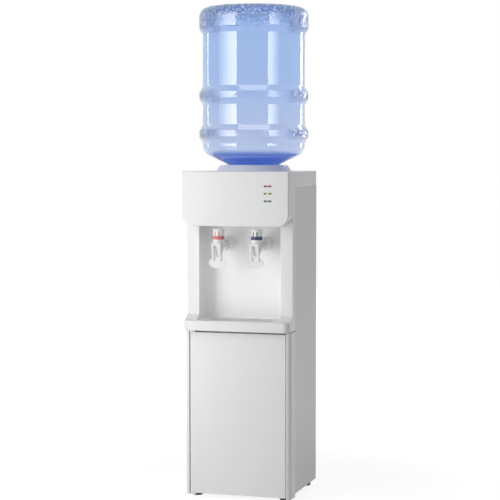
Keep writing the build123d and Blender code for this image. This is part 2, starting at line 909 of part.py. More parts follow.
# Apron: the cover in front of the cold tank, with rounded lower corners
with BuildPart() as apron_cover:
    with BuildSketch(upright(front)) as apron_face:
        flat_box(both_ways(half_width), (apron_bottom, body_top))
        fillet(apron_face.vertices().group_by(Axis.Y)[0], radius=apron_corner_r)
    extrude(amount=-column_setback)
    fillet(apron_cover.faces().sort_by(Axis.Y)[0].edges(), radius=apron_edge_r)
    with BuildSketch(upright(front + wall)) as apron_inside:
        flat_box(both_ways(half_width - wall), (apron_bottom + wall, body_top - wall))
        fillet(apron_inside.vertices().group_by(Axis.Y)[0], radius=apron_corner_r - wall)
    extrude(amount=-column_setback, mode=Mode.SUBTRACT)
    led_board_z = (indicator_heights[0] + indicator_heights[-1]) / 2
    led_board_width = indicator_length + 2 * led_board_side
    led_board_height = indicator_heights[0] - indicator_heights[-1] + 2 * led_board_end
    led_board_y = front + wall + indicator_flange_thickness + led_board_gap
    with BuildSketch(upright(front + wall)) as board_posts:
        with Locations((indicator_x, led_board_z)):
            with GridLocations(
                led_board_width - 2 * led_post_r, led_board_height - 2 * led_post_r, 2, 2
            ):
                Circle(led_post_r)
    extrude(amount=-(led_board_y - front - wall))
    with BuildSketch(upright(front)) as indicator_windows:
        with Locations(*[(indicator_x, z) for z in indicator_heights]):
            SlotOverall(indicator_length, indicator_height)
    extrude(amount=-wall, mode=Mode.SUBTRACT)
apron_cover.part.label = "apron_cover"
export_step(apron_cover.part, "parts/apron_cover.step")

# Indicator lenses: a slot-shaped window with a flange behind the apron
for lens_z, colour in zip(indicator_heights, ("red", "yellow", "green")):
    with BuildPart() as lens:
        with BuildSketch(upright(front + seam / 2)) as lens_face:
            with Locations((indicator_x, lens_z)):
                SlotOverall(indicator_length - seam / 2, indicator_height - seam / 2)
        extrude(amount=-(wall - seam / 2))
        with BuildSketch(upright(front + wall)) as lens_flange:
            with Locations((indicator_x, lens_z)):
                Rectangle(
                    indicator_length - 2 * indicator_flange,
                    indicator_height + 2 * indicator_flange,
                )
        extrude(amount=-indicator_flange_thickness)
    lens.part.label = f"indicator_lens_{colour}"
    export_step(lens.part, f"parts/indicator_lens_{colour}.step")

# Indicator board on the apron's four posts, with one diode behind each lens
with BuildPart() as led_board:
    with BuildSketch(upright(led_board_y)) as board_face:
        with Locations((indicator_x, led_board_z)):
            Rectangle(led_board_width, led_board_height)
    extrude(amount=-led_board_thickness)
    with BuildSketch(upright(led_board_y)) as diodes:
        with Locations(*[(indicator_x, z) for z in indicator_heights]):
            Circle(indicator_height / 2)
    extrude(amount=led_board_gap - seam)
led_board.part.label = "led_board"
export_step(led_board.part, "parts/led_board.step")

# Top cover: skirted lid with a conical collar round the bottle well
collar_top = body_top + collar_height
with BuildPart() as top_cover:
    with BuildSketch(Plane.XY.offset(skirt_bottom)) as cover_plan:
        flat_box(both_ways(half_width), (column_y, rear))
        fillet(cover_plan.vertices().group_by(Axis.Y)[-1], radius=cover_corner_r)
    extrude(amount=body_top - skirt_bottom)
    top_edges = top_cover.faces().sort_by(Axis.Z)[-1].edges()
    fillet(top_edges.sort_by(Axis.Y)[1:], radius=cover_edge_r)
    with BuildSketch(Plane.XY.offset(skirt_bottom)) as cover_inside:
        flat_box(both_ways(half_width - wall), (column_y + wall, rear - wall))
        fillet(
            cover_inside.vertices().group_by(Axis.Y)[-1],
            radius=cover_corner_r - wall,
        )
    extrude(amount=body_top - wall - skirt_bottom, mode=Mode.SUBTRACT)
    with BuildSketch(spin_plane) as collar_section:
        with BuildLine():
            Polyline(
                (collar_bore_r, body_top - wall),
                (collar_base_r, body_top - wall),
                (collar_base_r, body_top),
                (collar_top_r, collar_top),
                (collar_bore_r, collar_top),
                close=True,
            )
        make_face()
        fillet(collar_section.vertices().group_by(Axis.Y)[-1], radius=collar_rim_r)
    revolve(axis=bottle_axis)
    with BuildSketch(spin_plane) as bore_section:
        flat_box((0, collar_bore_r), (body_top - wall - overrun, collar_top + overrun))
    revolve(axis=bottle_axis, mode=Mode.SUBTRACT)
    seat_rest = shoulder_z(seat_cone_r) - fit_gap - wall
    with BuildSketch(spin_plane) as lip_section:
        flat_box(
            (collar_bore_r - collar_lip, collar_bore_r + wall),
            (seat_rest - wall, seat_rest),
        )
    revolve(axis=bottle_axis)
top_cover.part.label = "top_cover"
export_step(top_cover.part, "parts/top_cover.step")

# Bottle seat: a funnel that carries the bottle's shoulder, with a well round its neck
seat_top = shoulder_z(seat_cone_r) - fit_gap
seat_drop = shoulder_z(seat_cone_r) - shoulder_z(well_r)
with BuildPart() as bottle_seat:
    with BuildSketch(spin_plane) as seat_section:
        with BuildLine():
            Polyline(
                (0, well_floor),
                (well_r + seat_wall, well_floor),
                (well_r + seat_wall, seat_top - seat_drop - 2 * seat_wall),
                (seat_cone_r, seat_rest),
                (collar_bore_r - fit_gap, seat_rest),
                (collar_bore_r - fit_gap, seat_top),
                (seat_cone_r, seat_top),
                (well_r, seat_top - seat_drop),
                (well_r, well_floor + seat_wall),
                (0, well_floor + seat_wall),
                close=True,
            )
        make_face()
    revolve(axis=bottle_axis)
    with BuildSketch(Plane.XY.offset(well_floor)) as probe_hole:
        with Locations((0, axis_y)):
            Circle(probe_r)
    extrude(amount=seat_wall, mode=Mode.SUBTRACT)
bottle_seat.part.label = "bottle_seat"
export_step(bottle_seat.part, "parts/bottle_seat.step")

# Feed probe: opens the bottle's cap plug and leads the water down, and air up
probe_floor = well_floor + seat_wall
with BuildPart() as feed_probe:
    with BuildSketch(spin_plane) as probe_section:
        with BuildLine():
            Polyline(
                (probe_bore_r, well_floor - probe_below),
                (probe_r, well_floor - probe_below),
                (probe_r, probe_floor),
                (probe_flange_r, probe_floor),
                (probe_flange_r, probe_floor + seat_wall),
                (probe_r, probe_floor + seat_wall),
                (probe_r, probe_top),
                (0, probe_top + probe_tip),
                (0, probe_top),
                (probe_bore_r, probe_top - probe_tip / 2),
                close=True,
            )
        make_face()
    revolve(axis=bottle_axis)
    slot_z = probe_top - probe_slot_height
    with BuildSketch(upright(axis_y)) as front_and_rear_slots:
        with Locations((0, slot_z)):
            SlotOverall(probe_slot_height, probe_slot_width, rotation=90)
    extrude(amount=probe_r + overrun, both=True, mode=Mode.SUBTRACT)
    with BuildSketch(Plane.YZ) as left_and_right_slots:
        with Locations((axis_y, slot_z)):
            SlotOverall(probe_slot_height, probe_slot_width, rotation=90)
    extrude(amount=probe_r + overrun, both=True, mode=Mode.SUBTRACT)
feed_probe.part.label = "feed_probe"
export_step(feed_probe.part, "parts/feed_probe.step")

# Bottle: blow-moulded shell with three raised bands, standing on its shoulder
with BuildPart() as bottle:
    with BuildSketch(spin_plane) as bottle_section:
        with BuildLine() as bottle_outline:
            centre_line = -overrun
            top_corner = (band_r, bottle_top - bottle_top_corner)
            punt_r = band_r - punt_inset
            shoulder_round_z = shoulder_z(shoulder_round_r)
            barrel_bottom = shoulder_round_z + shoulder_round_height
            barrel_height = top_corner[1] - barrel_bottom
            band_half = barrel_height * band_height_share / 2
            band_ramp = barrel_height * band_ramp_share
            Polyline(
                (centre_line, neck_bottom),
                (centre_line, bottle_top - punt_depth),
                (punt_r - punt_ramp, bottle_top - punt_depth),
                (punt_r, bottle_top),
                (band_r - bottle_top_corner, bottle_top),
            )
            RadiusArc(
                (band_r - bottle_top_corner, bottle_top),
                top_corner,
                bottle_top_corner,
            )
            band_end = top_corner[1] - barrel_height * top_band_share
            band_points = [
                top_corner,
                (band_r, band_end),
                (bottle_r, band_end - band_ramp),
            ]
            for middle_share in band_middle_shares:
                middle = barrel_bottom + barrel_height * middle_share
                for step, radius in (
                    (band_half + band_ramp, bottle_r),
                    (band_half, band_r),
                    (-band_half, band_r),
                    (-band_half - band_ramp, bottle_r),
                ):
                    band_points.append((radius, middle + step))
            band_points.append((bottle_r, barrel_bottom))
            Polyline(*band_points)
            cone_foot = (neck_r, shoulder_z(neck_r))
            TangentArc(
                (bottle_r, barrel_bottom),
                (shoulder_round_r, shoulder_round_z),
                tangent=(0, -1),
            )
            Polyline(
                (shoulder_round_r, shoulder_round_z),
                cone_foot,
                (neck_r, neck_bottom),
                (centre_line, neck_bottom),
            )
        make_face()
        with BuildSketch(mode=Mode.PRIVATE) as bottle_space:
            add(bottle_section.sketch_local)
            offset(amount=-bottle_wall, kind=Kind.INTERSECTION)
        add(bottle_space.sketch_local, mode=Mode.SUBTRACT)
        with BuildSketch(mode=Mode.SUBTRACT):
            flat_box((0, neck_r - bottle_wall), (neck_bottom - overrun, neck_bottom + overrun))
        with BuildSketch(mode=Mode.INTERSECT):
            flat_box((0, band_r + overrun), (neck_bottom, bottle_top + overrun))
    revolve(axis=bottle_axis)
bottle.part.label = "bottle"
export_step(bottle.part, "parts/bottle.step")

# Bottle cap: snap-on cap with the opened plug's sleeve round the probe
cap_bottom = neck_bottom - bottle_wall
with BuildPart() as bottle_cap:
    with BuildSketch(spin_plane) as cap_section:
        with BuildLine():
            Polyline(
                (cap_hole_r, cap_bottom),
                (cap_r, cap_bottom),
                (cap_r, cap_bottom + cap_height),
                (neck_r + running_gap, cap_bottom + cap_height),
                (neck_r + running_gap, neck_bottom),
                (cap_hole_r + bottle_wall, neck_bottom),
                (cap_hole_r + bottle_wall, neck_bottom + cap_sleeve_height),
                (cap_hole_r, neck_bottom + cap_sleeve_height),
                close=True,
            )
        make_face()
    revolve(axis=bottle_axis)
bottle_cap.part.label = "bottle_cap"
export_step(bottle_cap.part, "parts/bottle_cap.step")

# Taps: a vertical valve body with a spout below and a threaded tail through the boss
lever_pivot_y = tap_y - tap_r - lever_pivot_gap
lug_front = lever_pivot_y - lever_eye_r
guide_bottom = ring_top
for side, side_name in ((-1, "hot"), (1, "cold")):
    tap_centre = side * tap_x
    tap_plane = Plane(origin=(tap_centre, tap_y, 0), x_dir=(1, 0, 0), z_dir=(0, -1, 0))
    tap_axis = Axis((tap_centre, tap_y, 0), (0, 0, 1))
    with BuildPart() as tap_body:
        with BuildSketch(upright(tap_y)) as tail_section:
            with Locations((tap_centre, tail_z)):
                Circle(tail_r)
        extrude(amount=-(tail_end_y - tap_y))
        with BuildSketch(upright(boss_y)) as flange_section:
            with Locations((tap_centre, tail_z)):
                Circle(boss_r - tap_flange_inset)
        extrude(amount=tap_flange_thickness)
        with BuildSketch(tap_plane) as body_section:
            with BuildLine():
                Polyline(
                    (0, spout_bottom),
                    (spout_r, spout_bottom),
                    (tap_r, tap_body_bottom),
                    (tap_r, ring_bottom),
                    (tap_shoulder_r, ring_bottom),
                    (tap_shoulder_r, tap_body_top),
                    (0, tap_body_top),
                    close=True,
                )
            make_face()
        revolve(axis=tap_axis)
        block(
            (tap_centre - lever_lug_width / 2, tap_centre + lever_lug_width / 2),
            (lug_front, tap_y - tap_bore_r),
            (lever_pivot_z - lever_eye_r, lever_pivot_z + lever_eye_r),
        )
        with BuildSketch(tap_plane) as chamber_section:
            with BuildLine():
                Polyline(
                    (0, spout_bottom - overrun),
                    (spout_r - spout_wall, spout_bottom - overrun),
                    (spout_r - spout_wall, valve_seat_z),
                    (tap_bore_r, valve_seat_z),
                    (tap_bore_r, tap_body_top + overrun),
                    (0, tap_body_top + overrun),
                    close=True,
                )
            make_face()
        revolve(axis=tap_axis, mode=Mode.SUBTRACT)
        with BuildSketch(upright(tap_y)) as tail_bore:
            with Locations((tap_centre, tail_z)):
                Circle(tail_r - tail_wall)
        extrude(amount=-(tail_end_y + overrun - tap_y), mode=Mode.SUBTRACT)
        with BuildSketch(Plane.YZ.offset(tap_centre)) as pin_hole:
            with Locations((lever_pivot_y, lever_pivot_z)):
                Circle(lever_pin_r)
        extrude(amount=lever_lug_width, both=True, mode=Mode.SUBTRACT)
    tap_body.part.label = f"{side_name}_tap_body"
    export_step(tap_body.part, f"parts/{side_name}_tap_body.step")

    # Coloured ring with two tabs that stand in the bonnet's slots
    with BuildPart() as tap_ring:
        with BuildSketch(Plane.XY.offset(ring_bottom)) as ring_plan:
            with Locations((tap_centre, tap_y)):
                Circle(tap_shoulder_r + ring_wall)
                Circle(tap_shoulder_r, mode=Mode.SUBTRACT)
        extrude(amount=ring_top - ring_bottom)
        with BuildSketch(Plane.XY.offset(ring_bottom)) as tab_plan:
            with Locations((tap_centre, tap_y - tap_shoulder_r)):
                with GridLocations(ring_tab_spacing, ring_wall, 2, 1):
                    Rectangle(ring_tab_width, 2 * ring_wall)
            with Locations((tap_centre, tap_y)):
                Circle(tap_shoulder_r + ring_wall, mode=Mode.INTERSECT)
                Circle(tap_shoulder_r, mode=Mode.SUBTRACT)
        extrude(amount=ring_tab_top - ring_bottom)
    tap_ring.part.label = f"{side_name}_tap_ring"
    export_step(tap_ring.part, f"parts/{side_name}_tap_ring.step")

    # Lever: two bent arms on the pin, one each side of the lug, joined by a rounded paddle
    paddle_y = tap_y - paddle_forward
    arm_inner = lever_lug_width / 2 + lever_arm_gap
    arm_foot_z = paddle_z + paddle_half_height - lever_arm_depth
    arm_rounds = (
        ((lever_pivot_y, lever_pivot_z), lever_eye_r),
        ((tap_y - lever_knee_forward, lever_knee_z), lever_arm_depth / 2),
        ((paddle_y, arm_foot_z), lever_arm_depth / 2),
    )
    with BuildPart() as tap_lever:
        for arm_side in (-1, 1):
            arm_x = tap_centre + arm_side * arm_inner
            for (upper_place, upper_r), (lower_place, lower_r) in zip(arm_rounds, arm_rounds[1:]):
                with BuildSketch(Plane.YZ.offset(arm_x)) as arm_section:
                    with Locations(upper_place):
                        Circle(upper_r)
                    with Locations(lower_place):
                        Circle(lower_r)
                    make_hull()
                extrude(amount=arm_side * lever_arm_width)
        with BuildSketch(upright(paddle_y - paddle_thickness / 2)) as paddle_face:
            with Locations((tap_centre, paddle_z)):
                Ellipse(paddle_r, paddle_half_height)
        extrude(amount=-paddle_thickness)
        with BuildSketch(upright(paddle_y - paddle_thickness / 2)) as paddle_dish:
            with Locations((tap_centre, paddle_z)):
                Ellipse(paddle_r - paddle_rim, paddle_half_height - paddle_rim)
        extrude(amount=-paddle_rim / 2, mode=Mode.SUBTRACT)
        with BuildSketch(Plane.YZ.offset(tap_centre)) as eye_holes:
            with Locations((lever_pivot_y, lever_pivot_z)):
                Circle(lever_pin_r + running_gap)
        extrude(amount=lever_lug_width + lever_arm_width, both=True, mode=Mode.SUBTRACT)
    tap_lever.part.label = f"{side_name}_tap_lever"
    export_step(tap_lever.part, f"parts/{side_name}_tap_lever.step")

    # Valve stem: a silicone plug on the seat, its rod through the guide, and its head
    with BuildPart() as valve_stem:
        with BuildSketch(tap_plane) as stem_section:
            with BuildLine():
                Polyline(
                    (0, valve_seat_z),
                    (tap_bore_r - plug_gap, valve_seat_z),
                    (tap_bore_r - plug_gap, valve_seat_z + plug_height / 2),
                    (stem_r, valve_seat_z + plug_height),
                    (stem_r, stem_top - stem_head_height),
                    (tap_bore_r - stem_head_gap, stem_top - stem_head_height),
                    (tap_bore_r - stem_head_gap, stem_top),
                    (0, stem_top),
                    close=True,
                )
            make_face()
        revolve(axis=tap_axis)
    valve_stem.part.label = f"{side_name}_valve_stem"
    export_step(valve_stem.part, f"parts/{side_name}_valve_stem.step")

# Bonnets: the taps' caps, with a flange, a stem guide and two front slots each
with BuildPart() as tap_bonnets:
    for side in (-1, 1):
        tap_centre = side * tap_x
        tap_plane = Plane(origin=(tap_centre, tap_y, 0), x_dir=(1, 0, 0), z_dir=(0, -1, 0))
        tap_axis = Axis((tap_centre, tap_y, 0), (0, 0, 1))
        bonnet_r = tap_r - seam
        bonnet_flange_r = tap_r + bonnet_flange_reach
        with BuildSketch(tap_plane) as bonnet_section:
            with BuildLine():
                Polyline(
                    (tap_bore_r, tap_body_top),
                    (tap_shoulder_r, tap_body_top),
                    (tap_shoulder_r, ring_top),
                    (bonnet_r, ring_top),
                    (bonnet_r, bonnet_top - bonnet_flange_height),
                    (bonnet_flange_r, bonnet_top - bonnet_flange_height / 2),
                    (bonnet_flange_r, bonnet_top),
                    (0, bonnet_top),
                    (0, bonnet_top - bonnet_wall),
                    (tap_bore_r, bonnet_top - bonnet_wall),
                    (tap_bore_r, guide_bottom + guide_thickness),
                    (stem_r + running_gap, guide_bottom + guide_thickness),
                    (stem_r + running_gap, guide_bottom),
                    (tap_bore_r, guide_bottom),
                    close=True,
                )
            make_face()
        revolve(axis=tap_axis)
    with BuildSketch(Plane.XY.offset(ring_top)) as front_slots:
        with Locations((-tap_x, tap_y - tap_shoulder_r), (tap_x, tap_y - tap_shoulder_r)):
            with GridLocations(ring_tab_spacing, overrun, 2, 1):
                Rectangle(ring_tab_width, 2 * overrun)
        with Locations((-tap_x, tap_y), (tap_x, tap_y)):
            Circle(tap_shoulder_r, mode=Mode.SUBTRACT)
    extrude(amount=ring_tab_top - ring_top, mode=Mode.SUBTRACT)
tap_bonnets.part.label = "tap_bonnets"
export_step(tap_bonnets.part, "parts/tap_bonnets.step")

# Lever pins, pressed in the taps' lugs
with BuildPart() as lever_pins:
    pin_half = lever_lug_width / 2 + lever_arm_gap + lever_arm_width
    for side in (-1, 1):
        with BuildSketch(Plane.YZ.offset(side * tap_x - pin_half)) as pin_end:
            with Locations((lever_pivot_y, lever_pivot_z)):
                Circle(lever_pin_r)
        extrude(amount=2 * pin_half)
lever_pins.part.label = "lever_pins"
export_step(lever_pins.part, "parts/lever_pins.step")

# Nuts that clamp the taps' tails from inside the bosses
with BuildPart() as tap_nuts:
    with BuildSketch(upright(boss_y + wall)) as nut_faces:
        with Locations((-tap_x, tail_z), (tap_x, tail_z)):
            RegularPolygon(boss_r - wall - nut_gap, 6)
            Circle(tail_r, mode=Mode.SUBTRACT)
    extrude(amount=-nut_thickness)
tap_nuts.part.label = "tap_nuts"
export_step(tap_nuts.part, "parts/tap_nuts.step")

# Cold tank under the bottle seat, with spigots for the cold tap and the hot tank
with BuildPart() as cold_tank:
    cold_outlet_x = cold_tank_r * cold_outlet_share
    feed_outlet_y = axis_y + cold_tank_r * feed_outlet_share
    spigot_places = ((cold_outlet_x, axis_y), (0, feed_outlet_y))
    with BuildSketch(Plane.XY.offset(cold_tank_bottom)) as tank_plan:
        with Locations((0, axis_y)):
            Circle(cold_tank_r)
    extrude(amount=cold_tank_top - cold_tank_bottom)
    with BuildSketch(Plane.XY.offset(cold_tank_top)) as tank_neck:
        with Locations((0, axis_y)):
            Circle(probe_r + cold_neck_wall)
    extrude(amount=well_floor - cold_tank_top)
    with BuildSketch(Plane.XY.offset(cold_tank_bottom)) as tank_spigots:
        with Locations(*spigot_places):
            Circle(spigot_r)
    extrude(amount=-spigot_length)
    with BuildSketch(Plane.XY.offset(cold_tank_bottom + cold_tank_wall)) as tank_space:
        with Locations((0, axis_y)):
            Circle(cold_tank_r - cold_tank_wall)
    extrude(amount=cold_tank_top - cold_tank_bottom - 2 * cold_tank_wall, mode=Mode.SUBTRACT)
    with BuildSketch(Plane.XY.offset(well_floor)) as neck_bore:
        with Locations((0, axis_y)):
            Circle(probe_r + running_gap)
    extrude(amount=-(well_floor - cold_tank_top + cold_tank_wall + overrun), mode=Mode.SUBTRACT)
    with BuildSketch(Plane.XY.offset(cold_tank_bottom - spigot_length)) as spigot_bores:
        with Locations(*spigot_places):
            Circle(spigot_r - spigot_wall)
    extrude(amount=spigot_length + cold_tank_wall + overrun, mode=Mode.SUBTRACT)
cold_tank.part.label = "cold_tank"
export_step(cold_tank.part, "parts/cold_tank.step")

# Foam round the cold tank, cut away where the cold block reaches it
foam_bottom = cold_tank_bottom - foam_gap - foam_floor
block_half = cooler_size / 2
with BuildPart() as cold_tank_insulation:
    with BuildSketch(Plane.XY.offset(foam_bottom)) as foam_plan:
        with Locations((0, axis_y)):
            Circle(foam_r)
    extrude(amount=cold_tank_top - foam_bottom)
    with BuildSketch(Plane.XY.offset(foam_bottom + foam_floor)) as foam_space:
        with Locations((0, axis_y)):
            Circle(cold_tank_r + foam_gap)
    extrude(amount=cold_tank_top - foam_bottom, mode=Mode.SUBTRACT)
    with BuildSketch(Plane.XY.offset(foam_bottom)) as spigot_clearance:
        with Locations(*spigot_places):
            Circle(spigot_r + foam_gap)
    extrude(amount=foam_floor, mode=Mode.SUBTRACT)
    block(
        both_ways(block_half + foam_gap),
        (axis_y, axis_y + foam_r + overrun),
        (cooler_z - block_half - foam_gap, cooler_z + block_half + foam_gap),
        mode=Mode.SUBTRACT,
    )
cold_tank_insulation.part.label = "cold_tank_insulation"
export_step(cold_tank_insulation.part, "parts/cold_tank_insulation.step")

# Cold block: aluminium, curved to the tank on one side and flat on the other
block_rear = axis_y + cold_tank_r + block_thickness
with BuildPart() as cold_block:
    block(
        both_ways(block_half),
        (axis_y, block_rear),
        (cooler_z - block_half, cooler_z + block_half),
    )
    with Locations((0, axis_y, cooler_z)):
        Cylinder(cold_tank_r, cooler_size + overrun, mode=Mode.SUBTRACT)
cold_block.part.label = "cold_block"
export_step(cold_block.part, "parts/cold_block.step")

# Thermoelectric module between the cold block and the heat sink
with BuildPart() as cooling_module:
    with BuildSketch(upright(block_rear)) as module_face:
        with Locations((0, cooler_z)):
            Rectangle(cooler_size, cooler_size)
    extrude(amount=-module_thickness)
cooling_module.part.label = "cooling_module"
export_step(cooling_module.part, "parts/cooling_module.step")

# Heat sink: a base plate with a row of upright fins
sink_y = block_rear + module_thickness
fin_pitch = (sink_size - fin_thickness) / (fin_count - 1)
with BuildPart() as heat_sink:
    with BuildSketch(Plane.XY.offset(cooler_z - sink_size / 2)) as sink_plan:
        flat_box(both_ways(sink_size / 2), (sink_y, sink_y + sink_base))
        with Locations((0, sink_y + sink_base / 2 + (sink_depth - sink_base / 2) / 2)):
            with GridLocations(fin_pitch, sink_depth, fin_count, 1):
                Rectangle(fin_thickness, sink_depth - sink_base / 2)
    extrude(amount=sink_size)
heat_sink.part.label = "heat_sink"
export_step(heat_sink.part, "parts/heat_sink.step")

# Fan frame: from the heat sink to the rear panel, with a web that carries the rotor
fan_front = sink_y + sink_depth
rotor_front = fan_front + fan_web + fan_side_gap
fan_size = 2 * (fan_bore_r + fan_rim)
with BuildPart() as fan_frame:
    with BuildSketch(upright(fan_front)) as fan_outline:
        with Locations((0, fan_z)):
            RectangleRounded(fan_size, fan_size, fan_corner_r)
            Circle(fan_bore_r, mode=Mode.SUBTRACT)
    extrude(amount=-(rear_face - fan_front))
    with BuildSketch(upright(fan_front)) as fan_web_face:
        with Locations((0, fan_z)):
            Circle(fan_hub_r)
            for arm_turn in (0, 90):
                Rectangle(2 * fan_bore_r + fan_arm, fan_arm, rotation=45 + arm_turn)
    extrude(amount=-fan_web)
    with BuildSketch(upright(fan_front)) as shaft_face:
        with Locations((0, fan_z)):
            Circle(fan_shaft_r)
    extrude(amount=-(fan_web + fan_side_gap + fan_rotor_depth))
fan_frame.part.label = "fan_frame"
export_step(fan_frame.part, "parts/fan_frame.step")

# Fan rotor: hub on the shaft, with pitched blades
with BuildPart() as fan_rotor:
    with BuildSketch(upright(rotor_front)) as hub_face:
        with Locations((0, fan_z)):
            Circle(fan_hub_r)
    extrude(amount=-fan_rotor_depth)
    blade_root = fan_hub_r - fan_blade_thickness
    blade_chord = fan_rotor_depth * fan_blade_chord_share
    for blade in range(fan_blades):
        outward = Vector(0, 0, 1).rotate(Axis.Y, blade * 360 / fan_blades)
        root = outward * blade_root + Vector(0, rotor_front + fan_rotor_depth / 2, fan_z)
        with BuildSketch(Plane(origin=root, x_dir=(0, 1, 0), z_dir=outward)) as blade_foot:
            Rectangle(blade_chord, fan_blade_thickness, rotation=fan_blade_pitch)
        extrude(amount=fan_bore_r - fan_blade_gap - blade_root)
    with BuildSketch(upright(rotor_front)) as shaft_bore:
        with Locations((0, fan_z)):
            Circle(fan_shaft_r + running_gap)
    extrude(amount=-(fan_rotor_depth + overrun), mode=Mode.SUBTRACT)
fan_rotor.part.label = "fan_rotor"
export_step(fan_rotor.part, "parts/fan_rotor.step")

# Fan guard: flat rings and spokes over the opening in the rear panel
with BuildPart() as fan_guard:
    with BuildSketch(upright(rear)) as guard_face:
        with Locations((0, fan_z)):
            for ring_share in guard_ring_shares:
                Circle(fan_bore_r * ring_share + guard_ring_width / 2)
                Circle(fan_bore_r * ring_share - guard_ring_width / 2, mode=Mode.SUBTRACT)
            Circle(guard_hub_r)
            for spoke_turn in (0, 90):
                Rectangle(
                    2 * (fan_bore_r + guard_overlap),
                    2 * guard_ring_width,
                    rotation=45 + spoke_turn,
                )
    extrude(amount=-guard_thickness)
fan_guard.part.label = "fan_guard"
export_step(fan_guard.part, "parts/fan_guard.step")

# Steel deck over the cupboard, with its sides folded up against the side panels
deck_half = half_width - sheet
with BuildPart() as machine_deck:
    with BuildSketch(upright(panel_y + sheet + panel_bend_r)) as deck_section:
        flat_box(both_ways(deck_half), (frame_top, frame_top + deck_flange))
        with BuildSketch(mode=Mode.SUBTRACT):
            flat_box(both_ways(deck_half - sheet), (deck_top, frame_top + deck_flange + overrun))
    extrude(amount=-(rear_face - panel_y - 2 * sheet - 2 * panel_bend_r))
machine_deck.part.label = "machine_deck"
export_step(machine_deck.part, "parts/machine_deck.step")

# Hot tank: stainless steel, closed, on three studs
hot_outlet_x = hot_tank_r * hot_outlet_share
hot_inlet_y = axis_y + hot_tank_r * hot_inlet_share
hot_tank_corner_r = hot_tank_r * hot_tank_corner_share
hot_spigots = ((0, hot_inlet_y), (drain_x, axis_y))
with BuildPart() as hot_tank:
    with BuildSketch(spin_plane) as hot_section:
        flat_box((0, hot_tank_r), (hot_tank_bottom, hot_tank_top))
        fillet(hot_section.vertices().group_by(Axis.X)[-1], radius=hot_tank_corner_r)
    revolve(axis=bottle_axis)
    with BuildSketch(Plane.XY.offset(hot_tank_top)) as outlet_plan:
        with Locations((-hot_outlet_x, axis_y)):
            Circle(spigot_r)
    extrude(amount=spigot_length)
    with BuildSketch(Plane.XY.offset(hot_tank_bottom)) as inlet_plan:
        with Locations(*hot_spigots):
            Circle(spigot_r)
    extrude(amount=-low_spigot_length)
    with BuildSketch(Plane.XY.offset(deck_top)) as leg_plan:
        with Locations((0, axis_y)):
            leg_circle_r = hot_tank_r * hot_leg_circle_share
            with PolarLocations(leg_circle_r, hot_legs, start_angle=hot_leg_angle):
                Circle(hot_leg_r)
    extrude(amount=hot_tank_bottom + hot_tank_wall / 2 - deck_top)
    with BuildSketch(spin_plane) as hot_space:
        flat_box(
            (0, hot_tank_r - hot_tank_wall),
            (hot_tank_bottom + hot_tank_wall, hot_tank_top - hot_tank_wall),
        )
        fillet(
            hot_space.vertices().group_by(Axis.X)[-1],
            radius=hot_tank_corner_r - hot_tank_wall,
        )
    revolve(axis=bottle_axis, mode=Mode.SUBTRACT)
    with BuildSketch(Plane.XY.offset(hot_tank_top + spigot_length)) as outlet_bore:
        with Locations((-hot_outlet_x, axis_y)):
            Circle(spigot_r - spigot_wall)
    extrude(amount=-(spigot_length + hot_tank_wall + overrun), mode=Mode.SUBTRACT)
    with BuildSketch(Plane.XY.offset(hot_tank_bottom - low_spigot_length)) as inlet_bores:
        with Locations(*hot_spigots):
            Circle(spigot_r - spigot_wall)
    extrude(amount=low_spigot_length + hot_tank_wall + overrun, mode=Mode.SUBTRACT)
hot_tank.part.label = "hot_tank"
export_step(hot_tank.part, "parts/hot_tank.step")

# Heater band, jacket and thermostats of the hot tank
band_outer_r = hot_tank_r + heater_band_thickness
for piece_name, inner_r, outer_r, low, high in (
    (
        "heater_band",
        hot_tank_r,
        band_outer_r,
        hot_tank_bottom + hot_tank_height * heater_band_rise_share,
        hot_tank_bottom
        + hot_tank_height * (heater_band_rise_share + heater_band_height_share),
    ),
    (
        "hot_tank_jacket",
        band_outer_r + foam_gap,
        jacket_r,
        hot_tank_bottom + jacket_bottom_gap,
        hot_tank_top - jacket_top_gap,
    ),
):
    with BuildPart() as sleeve:
        with BuildSketch(Plane.XY.offset(low)) as sleeve_plan:
            with Locations((0, axis_y)):
                Circle(outer_r)
                Circle(inner_r, mode=Mode.SUBTRACT)
        extrude(amount=high - low)
    sleeve.part.label = piece_name
    export_step(sleeve.part, f"parts/{piece_name}.step")

with BuildPart() as thermostats:
    with BuildSketch(Plane.XY.offset(hot_tank_top)) as thermostat_plan:
        with Locations((0, axis_y)):
            thermostat_circle_r = hot_tank_r * thermostat_circle_share
            with PolarLocations(thermostat_circle_r, 2, start_angle=-45, angular_range=180):
                Circle(hot_tank_r * thermostat_share)
    extrude(amount=thermostat_height)
thermostats.part.label = "thermostats"
export_step(thermostats.part, "parts/thermostats.step")

# Hoses: each ends face to face on its spigot or tail
tap_hose_y = alcove_y + wall + tap_hose_gap
drain_inner_y = rear_face - sheet - drain_spout_inside
feed_y = axis_y + jacket_r + feed_hose_gap
hose_routes = {
    "cold_hose": (
        (tap_x, tail_end_y, tail_z),
        (tap_x, tap_hose_y, tail_z),
        (tap_x, tap_hose_y, hose_level),
        (cold_outlet_x, axis_y, hose_level),
        (cold_outlet_x, axis_y, cold_spigot_z),
    ),
    "hot_hose": (
        (-tap_x, tail_end_y, tail_z),
        (-tap_x, tap_hose_y, tail_z),
        (-tap_x, tap_hose_y, hose_level),
        (-hot_outlet_x, axis_y, hose_level),
        (-hot_outlet_x, axis_y, hot_spigot_z),
    ),
    "feed_hose": (
        (0, feed_outlet_y, cold_spigot_z),
        (0, feed_outlet_y, hose_level),
        (0, feed_y, hose_level),
        (0, feed_y, low_hose_level),
        (0, hot_inlet_y, low_hose_level),
        (0, hot_inlet_y, low_spigot_z),
    ),
    "drain_hose": (
        (drain_x, axis_y, low_spigot_z),
        (drain_x, axis_y, low_hose_level),
        (drain_x, drain_inner_y, low_hose_level),
    ),
}
